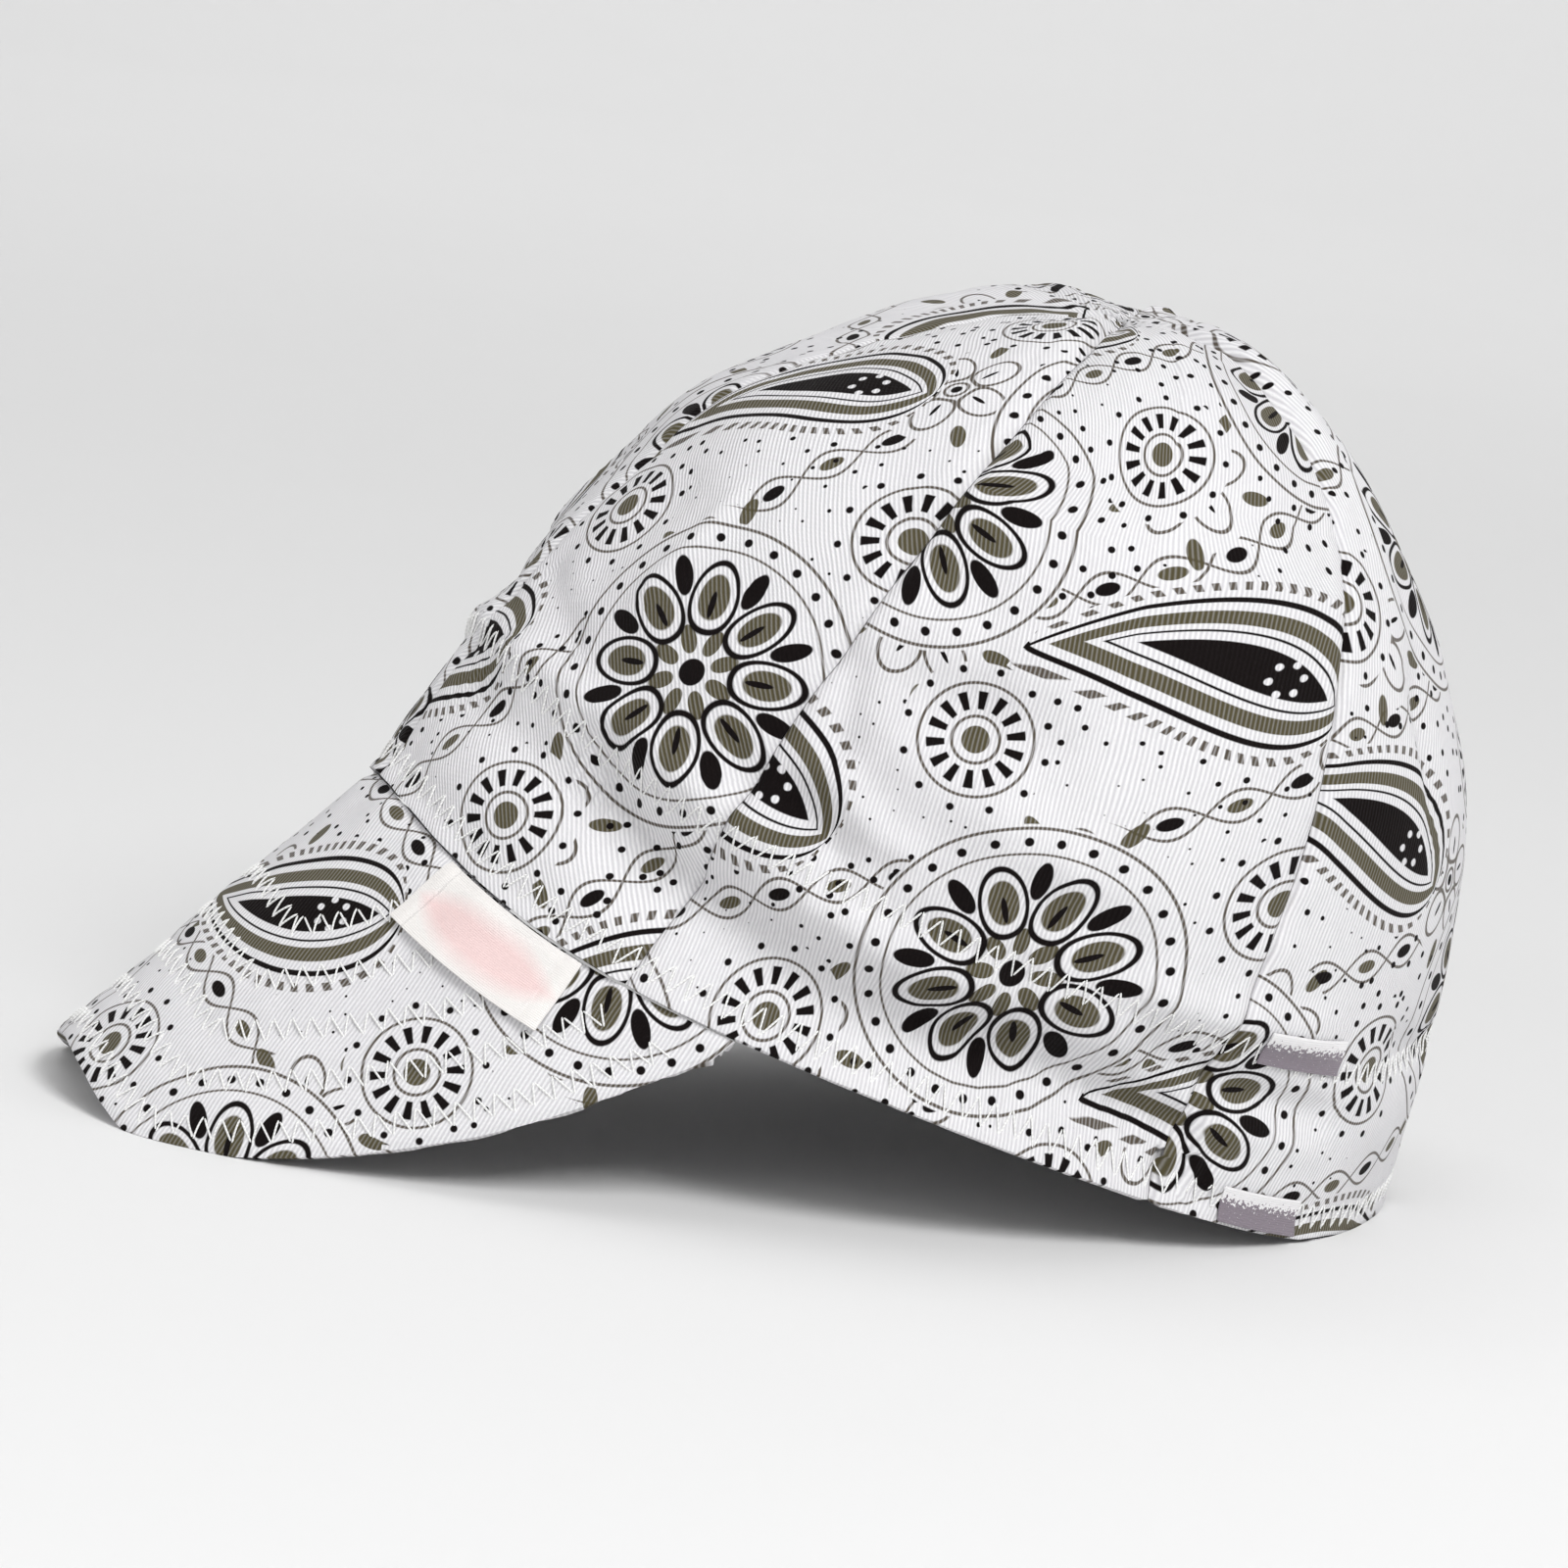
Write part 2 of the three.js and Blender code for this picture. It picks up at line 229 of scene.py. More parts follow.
# The finer dents and ridges
FINE_FOLDS = (
    Fold(30, 0.34, -0.8, 9, 0.07, -60),
    Fold(64, 0.34, -0.9, 5, 0.13, 20),
    Fold(84, 0.3, -0.6, 6, 0.14),
    Fold(122, 0.12, 1.0, 8, 0.025, -60),
    Fold(140, 0.1, -0.8, 9, 0.04),
    Fold(152, 0.22, 1.0, 10, 0.06, 60),
    Fold(150, 0.5, 0.9, 12, 0.1),
    Fold(18, 0.1, -0.7, 9, 0.06),
    Fold(24, 0.62, 0.8, 14, 0.08),
    Fold(143, 0.72, 1.5, 3.5, 0.2),
    Fold(75, 0.62, 1.0, 12, 0.07, 90),
)

# The long hollow above the hem, and then the rolls and wrinkles that run into it
CREASES = (
    Crease(
        ((27, 34), (36, 28.5), (48, 21), (60, 16.5), (72, 14.5), (96, 15.5), (118, 11)), 7.6, 7.2, 18, 1.6
    ),
    Crease(((33, 32), (40, 27), (49, 23.5), (58, 22), (68, 19.5)), 2.0, 2.3, 9),
    Crease(((44, 42), (54, 35), (64, 28), (76, 25), (92, 25)), -2.3, 5.5, 16),
    Crease(((4, 25), (16, 25), (28, 25), (38, 23)), 2.6, 5.5, 14, 1.4),
    Crease(((-4, 36), (12, 36), (24, 38), (36, 40), (46, 37), (53, 33)), -1.8, 4.0, 12),
    Crease(((25.5, 54), (27, 72), (27.5, 92)), -1.6, 3.2, 10),
    Crease(((13, 48), (16, 64), (18, 88)), 1.6, 6.5, 12),
    Crease(((36, 50), (38, 62), (38, 82)), 1.3, 5.5, 12),
    Crease(((53, 78), (55, 70), (58, 60), (61, 52)), 2.2, 3.6, 8),
    Crease(((56, 76), (66, 73), (76, 73), (90, 73)), 2.8, 7.5, 18),
    Crease(((52, 52), (56, 46), (62, 41), (68, 37)), 2.4, 3.6, 8),
    Crease(((57, 56), (62, 50), (68, 45), (75, 43)), -1.8, 3.4, 8),
    Crease(((44, 52), (49, 45), (56, 38)), 2.0, 3.6, 8),
    Crease(((60, 64), (72, 58), (84, 55), (96, 54)), -1.6, 6.0, 14),
    Crease(((84, 44), (94, 46), (104, 44)), 1.6, 5.0, 14, 1.5),
    Crease(((44, 103), (54, 98), (64, 93), (74, 91)), 2.0, 8.0, 16),
    Crease(((98, 38), (108, 37), (120, 39), (132, 42)), -1.6, 4.5, 12),
    Crease(((100, 27), (112, 26), (124, 24), (136, 25)), 2.2, 4.2, 12, 1.6),
    Crease(((112, 16), (122, 19), (134, 17)), -1.2, 3.6, 10),
    Crease(((140, 42), (150, 36), (164, 34)), 1.6, 4.0, 10),
    Crease(((138, 118), (142, 96), (145, 74)), 1.8, 3.6, 16),
    Crease(((2, 52), (14, 47), (24, 44)), 1.4, 4.0, 8),
)


@dataclass(frozen=True)
class CrownShape:
    """The crown's form: where each place of its cloth lies."""

    hem_length: float = 216.0
    hem_width: float = 166.0
    crown_height: float = 162.0
    top_setback: float = 17.0
    rest_lean: float = 5.3146
    rest_shift: tuple = (0.0, 22.908, 9.988)
    seams_at_hem: tuple = (0.0, 50.0, 110.0, 180.0)
    seams_at_top: tuple = (0.0, 57.0, 135.0, 180.0)
    puff: float = 2.2
    row_height: float = 33.5
    hem_row_height: float = 4.5
    seam_groove: float = 0.95
    seam_pucker: float = 0.55
    allowance_rise: float = 0.3
    row_gather: float = 0.95
    row_groove: float = 0.6
    hem_gather: float = 0.7
    hem_groove: float = 0.35
    hem_lip: float = 0.5
    broad_waves: float = 1.3
    small_waves: float = 0.55

    def plain(self, angle: np.ndarray, along: np.ndarray) -> np.ndarray:
        """The smooth crown, before it swells or folds.

        Args:
            angle: Degrees from the front, the wearer's left positive.
            along: Share of the way up the crown.

        Returns:
            Points of the upright cap, one row each.
        """

        def value(column: str) -> np.ndarray:
            """Reads one of the crown's columns."""
            return read_table(CROWN_TABLE, "along", column, along)

        cosine = np.cos(np.radians(angle))
        front = cosine > 0
        end_share = np.abs(cosine)
        half_length = self.hem_length / 2
        widest = self.top_setback * value("shift")
        front_end = self.top_setback - value("front_reach") * (half_length + self.top_setback)
        back_end = self.top_setback + value("back_reach") * (half_length - self.top_setback)
        end = np.where(front, front_end, back_end)
        level = value("side_rise") + value("slope") * cosine
        level_at_end = value("side_rise") + value("slope") * np.sign(cosine)
        end_rise = np.where(front, value("front_rise"), value("back_rise"))
        rise = level + (end_rise - level_at_end) * end_share ** value("sweep")
        x = self.hem_width / 2 * value("side_reach") * np.sin(np.radians(angle))
        return np.stack([x, widest + (end - widest) * end_share, self.crown_height * rise], -1)

    def normal(self, angle: np.ndarray, along: np.ndarray) -> np.ndarray:
        """Outward directions of the smooth crown, one row each.

        Args:
            angle: Degrees from the front, the wearer's left positive.
            along: Share of the way up the crown.

        Returns:
            The directions.
        """
        across = self.plain(angle + 0.36, along) - self.plain(angle - 0.36, along)
        upward = self.plain(angle, along + 0.001) - self.plain(angle, along - 0.001)
        out = np.cross(across, upward)
        return out / np.linalg.norm(out, axis=-1, keepdims=True)

    def point(self, angle: np.ndarray, along: np.ndarray, out: np.ndarray) -> np.ndarray:
        """A place of the crown's cloth, moved out by a distance and in by the main folds.

        Args:
            angle: Degrees from the front, the wearer's left positive.
            along: Share of the way up the crown.
            out: How far out of the smooth crown.

        Returns:
            Points of the upright cap, one row each.
        """
        inward = sum(fold.depth_at(angle, along) for fold in MAIN_FOLDS)
        return self.plain(angle, along) + self.normal(angle, along) * (out - inward)[..., None]

    def seam(self, index: int, along: np.ndarray) -> np.ndarray:
        """The angle of a seam at each share of the way up."""
        low, high = self.seams_at_hem[index], self.seams_at_top[index]
        return low + (high - low) * along

    def height(self, angle: np.ndarray, along: np.ndarray) -> np.ndarray:
        """How far up the cloth a place lies above the hem's edge.

        Args:
            angle: Degrees from the front, the wearer's left positive.
            along: Share of the way up the crown.

        Returns:
            The millimetres above the hem, measured along the cloth.
        """
        steps = np.linspace(0, 1, 26)
        total = np.zeros_like(along)
        last = self.plain(angle, np.zeros_like(along))
        for step in steps[1:]:
            here = self.plain(angle, along * step)
            total += np.linalg.norm(here - last, axis=-1)
            last = here
        return total

    def along_at(self, angle: np.ndarray, height: float | np.ndarray) -> np.ndarray:
        """The share of the way up that lies a distance above the hem's edge.

        Args:
            angle: Degrees from the front, the wearer's left positive.
            height: Millimetres above the hem's edge, along the cloth.

        Returns:
            The shares.
        """
        step = 0.01
        zero = np.zeros_like(angle)
        first = np.linalg.norm(self.plain(angle, zero + step) - self.plain(angle, zero), axis=-1)
        guess = height * step / first
        for _ in range(3):
            guess = guess * height / np.maximum(self.height(angle, guess), 1e-6)
        return guess

    def per_degree(self, angle: np.ndarray, along: np.ndarray) -> np.ndarray:
        """The distance round the crown that one degree covers."""
        return np.linalg.norm(self.plain(angle + 0.5, along) - self.plain(angle - 0.5, along), axis=-1)

    def gore_of(self, angle: np.ndarray, along: np.ndarray) -> tuple[np.ndarray, np.ndarray]:
        """The seams on both sides of each place.

        Args:
            angle: Degrees from the front, either side.
            along: Share of the way up the crown.

        Returns:
            The angles of the seam before and of the seam after it, both unsigned.
        """
        turn = np.abs(angle)
        seams = np.stack([self.seam(i, along) for i in range(4)])
        index = np.clip((turn[None] >= seams).sum(0) - 1, 0, 2)
        columns = np.arange(len(turn))
        return seams[index, columns], seams[index + 1, columns]

    def relief(self, angle: np.ndarray, along: np.ndarray) -> np.ndarray:
        """How far the sewn cloth stands out of the smooth crown, apart from the main folds.

        Args:
            angle: Degrees from the front, the wearer's left positive.
            along: Share of the way up the crown.

        Returns:
            The distance at each place.
        """
        turn = np.abs(angle)
        before, after = self.gore_of(angle, along)
        share = np.clip((turn - before) / np.maximum(after - before, 1e-6), 0, 1)
        upward = smooth_step(along, 0.08, 0.4) * (1 - smooth_step(along, 0.86, 1))
        out = self.puff * np.sin(np.pi * share) ** 0.8 * upward
        width = self.per_degree(angle, along)
        near_seam = np.minimum(turn - before, after - turn) * width
        height = self.height(angle, along)
        run = angle * self.per_degree(angle, np.full_like(along, 0.1))
        at_seam = bump(near_seam, 1.1)
        allowance = smooth_step(near_seam, 0.6, 1.6) * (1 - smooth_step(near_seam, 4.5, 7.5))
        puckers = soft_noise(height / 7.0, turn / 40, 3.1) * bump(near_seam, 6.0)
        out += self.allowance_rise * allowance - self.seam_groove * at_seam
        out += self.seam_pucker * puckers * (1 - at_seam)
        from_row = height - self.row_height
        row_waves = soft_noise(run / 7.0, height / 26, 7.7) + 0.5 * soft_noise(run / 3.7, height / 18, 9.2)
        out += self.row_gather * row_waves * bump(from_row, 9.0) - self.row_groove * bump(from_row, 2.6)
        hem_waves = soft_noise(run / 7.0, height / 20, 5.3)
        out += self.hem_gather * hem_waves * bump(height - 4.0, 8.0)
        out -= self.hem_groove * bump(height - self.hem_row_height, 2.4)
        out += self.hem_lip * bump(height, 2.0)
        broad = soft_noise(run / 42.0, height / 55.0, 12.5)
        out += self.broad_waves * broad * smooth_step(height, 4, 25)
        small = soft_noise(run / 13.0, height / 17.0, 2.4)
        out += self.small_waves * small * smooth_step(height, 2, 12)
        out -= self.hollows(angle, along)
        return out * (1 - 0.6 * smooth_step(along, 0.95, 1.0))

    def hollows(self, angle: np.ndarray, along: np.ndarray) -> np.ndarray:
        """How far the finer folds and the creases press the cloth in.

        Args:
            angle: Degrees from the front, the wearer's left positive.
            along: Share of the way up the crown.

        Returns:
            The depth at each place.
        """
        height, width = self.height(angle, along), self.per_degree(angle, along)
        deep = sum(fold.depth_at(angle, along) for fold in FINE_FOLDS)
        return deep + sum(crease.depth_at(angle, height, width) for crease in CREASES)

    def cloth_point(
        self, angle: np.ndarray, along: np.ndarray, out: float | np.ndarray = 0.0
    ) -> np.ndarray:
        """A place on the face of the sewn and folded cloth, moved out by a distance."""
        return self.point(angle, along, self.relief(angle, along) + out)

    def set_down(self, points: np.ndarray) -> np.ndarray:
        """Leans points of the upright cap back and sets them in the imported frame's place.

        Args:
            points: Points of the upright cap, in millimetres.

        Returns:
            Points in the row frame, in metres.
        """
        lean = math.radians(self.rest_lean)
        x, y, z = points[..., 0], points[..., 1], points[..., 2]
        leaned = np.stack(
            [x, y * math.cos(lean) + z * math.sin(lean), z * math.cos(lean) - y * math.sin(lean)], -1
        )
        return (leaned + np.array(self.rest_shift)) * MM


@dataclass(frozen=True)
class PeakShape:
    """The peak's form, hung from the crown's hem."""

    crown: CrownShape
    span: float = 63.0
    length: float = 77.7
    droop: float = 50.5
    clearance: float = 0.45
    row_insets: tuple = (5.0, 15.0, 25.5, 36.5, 48.0)
    row_groove: float = 0.32
    row_gather: float = 0.28
    seam_groove: float = 0.8
    seam_gather: float = 0.9
    broad_waves: float = 0.8
    edge_turn: float = 0.5

    @property
    def way(self) -> np.ndarray:
        """The direction in which the peak runs out from its seam."""
        droop = math.radians(self.droop)
        return np.array([0.0, -math.cos(droop), -math.sin(droop)])

    @property
    def turns(self) -> np.ndarray:
        """Closely spaced angles, from a little before the seam's one end to a little past its other."""
        return np.linspace(-self.span - 4, self.span + 4, 535)

    def root(self, angle: np.ndarray) -> np.ndarray:
        """Places of the peak's seam, one row each."""
        zero = np.zeros_like(angle)
        return self.crown.point(angle, zero, zero) + self.way * self.clearance

    def reach(self, angle: np.ndarray) -> np.ndarray:
        """How far the peak runs out at each angle."""
        across = np.clip(np.abs(angle) / self.span, 0, 1)
        return self.length * read_table(PEAK_TABLE, "across", "length", across)

    def point(self, angle: np.ndarray, distance: np.ndarray) -> np.ndarray:
        """A place of the smooth peak, a distance out from its seam."""
        return self.root(angle) + self.way * np.asarray(distance)[..., None]

    def normal(self, angle: np.ndarray) -> np.ndarray:
        """Outward directions of the smooth peak, one row each.

        Args:
            angle: Degrees from the front, the wearer's left positive.

        Returns:
            The directions.
        """
        across = self.root(angle + 0.3) - self.root(angle - 0.3)
        out = np.cross(self.way, across)
        return out / np.linalg.norm(out, axis=-1, keepdims=True)

    def flat(self, angle: np.ndarray, distance: np.ndarray) -> tuple[np.ndarray, np.ndarray]:
        """The place on the flat cut of the peak.

        Args:
            angle: Degrees from the front, the wearer's left positive.
            distance: How far out from the seam.

        Returns:
            The places across and out, in millimetres, from the middle of the seam.
        """
        turns = self.turns
        step = np.diff(self.root(turns), axis=0)
        out_step = step @ self.way
        across_step = np.sqrt(np.maximum((step**2).sum(-1) - out_step**2, 0))
        across = np.concatenate([[0], np.cumsum(across_step)])
        out = np.concatenate([[0], np.cumsum(out_step)])
        across -= np.interp(0, turns, across)
        out -= np.interp(0, turns, out)
        return np.interp(angle, turns, across), np.interp(angle, turns, out) + distance

    def from_flat(self, across: np.ndarray, out: np.ndarray) -> tuple[np.ndarray, np.ndarray]:
        """The angle and the distance from the seam of places on the flat cut.

        Args:
            across: Millimetres across the flat cut.
            out: Millimetres out on it.

        Returns:
            The angles and the distances.
        """
        turns = self.turns
        flat_across, flat_out = self.flat(turns, np.zeros_like(turns))
        angle = np.interp(across, flat_across, turns)
        return angle, out - np.interp(across, flat_across, flat_out)

    def edge_flat(self) -> np.ndarray:
        """The peak's edge on its flat cut, one row for each point."""
        turns = np.linspace(-self.span, self.span, 241)
        return np.stack(self.flat(turns, self.reach(turns)), -1)

    def stitched_row(self, inset: float) -> np.ndarray:
        """A row of stitching that keeps a distance from the edge.

        Args:
            inset: The distance from the peak's edge.

        Returns:
            Points of the flat cut, one row each, in order.
        """
        edge = self.edge_flat()
        step = np.gradient(edge, axis=0)
        step /= np.linalg.norm(step, axis=-1, keepdims=True)
        inward = np.stack([step[:, 1], -step[:, 0]], -1)
        if inward[len(inward) // 2, 1] > 0:
            inward = -inward
        row = edge + inward * inset
        gaps = np.linalg.norm(row[:, None] - edge[None], axis=-1).min(1)
        _, distance = self.from_flat(row[:, 0], row[:, 1])
        keep = (gaps > inset - 0.4) & (distance > 3.5)
        return row[keep]

    def relief(self, angle: np.ndarray, distance: np.ndarray) -> np.ndarray:
        """How far the stitched cloth stands out of the smooth peak.

        Args:
            angle: Degrees from the front, the wearer's left positive.
            distance: How far out from the seam.

        Returns:
            The distance at each place.
        """
        across, out = self.flat(angle, distance)
        edge = self.edge_flat()
        places = np.stack([across, out], -1)
        from_edge = np.full(len(places), FAR)
        batch = 2000
        for start in range(0, len(places), batch):
            part = places[start : start + batch]
            from_edge[start : start + batch] = np.linalg.norm(part[:, None] - edge[None], axis=-1).min(1)
        total = np.zeros(len(places))
        for inset in self.row_insets:
            waves = soft_noise(across / 5.5, out / 5.5 + inset, 4.4)
            total -= self.row_groove * bump(from_edge - inset, 2.6)
            total += self.row_gather * waves * bump(from_edge - inset, 6.0)
        broad = soft_noise(across / 34, out / 30, 6.1)
        total += self.broad_waves * broad * smooth_step(distance, 0, 14)
        total -= self.seam_groove * bump(distance, 1.6)
        gather = soft_noise(across / 9.0, out / 60, 8.8)
        total += self.seam_gather * gather * bump(distance - 5, 8.0)
        return total - self.edge_turn * bump(from_edge, 1.2)

    def cloth_point(
        self, angle: np.ndarray, distance: np.ndarray, out: float | np.ndarray = 0.0
    ) -> np.ndarray:
        """A place on the face of the stitched peak, moved out by a distance."""
        lift = self.relief(angle, distance) + out
        return self.point(angle, distance) + self.normal(angle) * lift[..., None]


@dataclass(frozen=True)
class FieldValue:
    """A value that changes over a surface, as a node's output, with the arithmetic of plain numbers."""

    kit: "NodeKit"
    socket: bpy.types.NodeSocket

    def __add__(self, other: "FieldValue | float") -> "FieldValue":
        """Adds a value."""
        return self.kit.math("ADD", self, other)

    def __sub__(self, other: "FieldValue | float") -> "FieldValue":
        """Takes a value away."""
        return self.kit.math("SUBTRACT", self, other)

    def __rsub__(self, other: float) -> "FieldValue":
        """Takes this away from a number."""
        return self.kit.math("SUBTRACT", other, self)

    def __mul__(self, other: "FieldValue | float") -> "FieldValue":
        """Multiplies by a value."""
        return self.kit.math("MULTIPLY", self, other)

    def __truediv__(self, other: "FieldValue | float") -> "FieldValue":
        """Divides by a value."""
        return self.kit.math("DIVIDE", self, other)

    def __abs__(self) -> "FieldValue":
        """Drops the sign."""
        return self.kit.math("ABSOLUTE", self)


Value = FieldValue | float


@dataclass
class NodeKit:
    """Adds and links shader nodes in one tree."""

    tree: bpy.types.NodeTree

    def add(self, kind: str, **settings: object) -> bpy.types.Node:
        """Adds a node and sets its properties.

        Args:
            kind: The node's type.
            **settings: Its properties by name.

        Returns:
            The node.
        """
        node = self.tree.nodes.new(kind)
        for name, value in settings.items():
            setattr(node, name, value)
        return node

    def feed(self, socket: bpy.types.NodeSocket, value: object) -> None:
        """Links a value to a socket, or sets a plain number or colour on it.

        Args:
            socket: The input socket.
            value: A value, a socket, a number or a colour.
        """
        if isinstance(value, FieldValue):
            self.tree.links.new(value.socket, socket)
        elif isinstance(value, bpy.types.NodeSocket):
            self.tree.links.new(value, socket)
        else:
            socket.default_value = value

    def math(self, operation: str, *values: Value, clamp: bool = False) -> FieldValue:
        """Adds a Math node and gives its output.

        Args:
            operation: The node's operation.
            *values: Its inputs, in order.
            clamp: Whether the output stays between 0 and 1.

        Returns:
            The output.
        """
        node = self.add("ShaderNodeMath", operation=operation, use_clamp=clamp)
        for socket, value in zip(node.inputs, values):
            self.feed(socket, value)
        return FieldValue(self, node.outputs[0])

    def blend(self, share: object, first: object, second: object) -> bpy.types.NodeSocket:
        """Mixes two colours by a share and gives the colour output.

        Args:
            share: The second colour's share.
            first: The first colour.
            second: The second colour.

        Returns:
            The mixed colour.
        """
        node = self.add("ShaderNodeMix", data_type="RGBA")
        self.feed(node.inputs["Factor"], share)
        self.feed(node.inputs[6], first)
        self.feed(node.inputs[7], second)
        return node.outputs[2]

    def noise(self, vector: object, scale: float, detail: float = 2.0) -> FieldValue:
        """Adds a Noise Texture and gives its value.

        Args:
            vector: The coordinates.
            scale: Waves for each unit of them.
            detail: How many finer layers it has.

        Returns:
            The noise, from 0 to 1.
        """
        node = self.add("ShaderNodeTexNoise")
        self.feed(node.inputs["Vector"], vector)
        node.inputs["Scale"].default_value = scale
        node.inputs["Detail"].default_value = detail
        return FieldValue(self, node.outputs[0])

    def split(self, vector: object) -> tuple[FieldValue, FieldValue]:
        """Gives the first two parts of a vector.

        Args:
            vector: The vector's socket.

        Returns:
            The two parts.
        """
        node = self.add("ShaderNodeSeparateXYZ")
        self.feed(node.inputs[0], vector)
        return FieldValue(self, node.outputs[0]), FieldValue(self, node.outputs[1])

    def turned(self, x: FieldValue, y: FieldValue, degrees: float) -> tuple[FieldValue, FieldValue]:
        """Turns two coordinates about the origin."""
        cosine, sine = math.cos(math.radians(degrees)), math.sin(math.radians(degrees))
        return x * cosine + y * sine, y * cosine - x * sine

    def ink(self, distance: Value, half_width: float, soft: float = 0.22) -> FieldValue:
        """A mask that is 1 where a distance is under a width, with a soft edge."""
        slope = -1.0 / soft
        return self.math("MULTIPLY_ADD", distance, slope, half_width / soft + 0.5, clamp=True)


def new_group(name: str, inputs: dict[str, str], outputs: dict[str, str]) -> tuple:
    """Starts a shader node group.

    Args:
        name: The group's name.
        inputs: Socket kinds by input name.
        outputs: Socket kinds by output name.

    Returns:
        The group's tree, its input node and its output node.
    """
    tree = bpy.data.node_groups.new(name, "ShaderNodeTree")
    for names, direction in ((inputs, "INPUT"), (outputs, "OUTPUT")):
        for socket, kind in names.items():
            tree.interface.new_socket(name=socket, in_out=direction, socket_type=kind)
    return tree, tree.nodes.new("NodeGroupInput"), tree.nodes.new("NodeGroupOutput")


class TwillWeave:
    """The shared weave: slanting ribs made of short floats, as a height and a rib mask."""

    NAME = "twill weave"

    @classmethod
    def group(cls) -> bpy.types.NodeTree:
        """Builds the group once and gives it.

        Returns:
            The group's tree.
        """
        if cls.NAME in bpy.data.node_groups:
            return bpy.data.node_groups[cls.NAME]
        tree, inside, outside = new_group(
            cls.NAME,
            {"Cloth": "NodeSocketVector", "Pitch": "NodeSocketFloat"},
            {"Height": "NodeSocketFloat", "Rib": "NodeSocketFloat"},
        )
        kit = NodeKit(tree)
        x, y = kit.split(inside.outputs["Cloth"])
        pitch = FieldValue(kit, inside.outputs["Pitch"])
        wander = kit.noise(inside.outputs["Cloth"], 0.09, 1.0) * 0.9
        phase = (x + wander) / pitch * (2 * math.pi)
        ribs = kit.math("MULTIPLY_ADD", kit.math("COSINE", phase), 0.5, 0.5)
        row = kit.math("FLOOR", (x + wander) / pitch)
        along = y / pitch * 0.85 + row * 0.37
        floats = kit.math("MULTIPLY_ADD", kit.math("COSINE", along * (2 * math.pi)), 0.18, 0.82)
        fuzz = kit.noise(inside.outputs["Cloth"], 3.1, 3.0) * 0.35
        kit.feed(outside.inputs["Height"], ribs * floats + fuzz)
        kit.feed(outside.inputs["Rib"], ribs)
        return tree


class ShopWear:
    """The shared unevenness of handled cloth: broad soft stains and a fine speckle of lint."""

    NAME = "handled cloth"

    @classmethod
    def group(cls) -> bpy.types.NodeTree:
        """Builds the group once and gives it.

        Returns:
            The group's tree.
        """
        if cls.NAME in bpy.data.node_groups:
            return bpy.data.node_groups[cls.NAME]
        tree, inside, outside = new_group(
            cls.NAME, {"Cloth": "NodeSocketVector"}, {"Tone": "NodeSocketFloat", "Lint": "NodeSocketFloat"}
        )
        kit = NodeKit(tree)
        broad = kit.noise(inside.outputs["Cloth"], 0.022, 3.0)
        fine = kit.noise(inside.outputs["Cloth"], 0.5, 2.0)
        kit.feed(outside.inputs["Tone"], broad * 0.7 + fine * 0.3)
        lint = kit.noise(inside.outputs["Cloth"], 1.7, 1.0)
        kit.feed(outside.inputs["Lint"], kit.math("MULTIPLY_ADD", lint, 9.0, -6.2, clamp=True))
        return tree


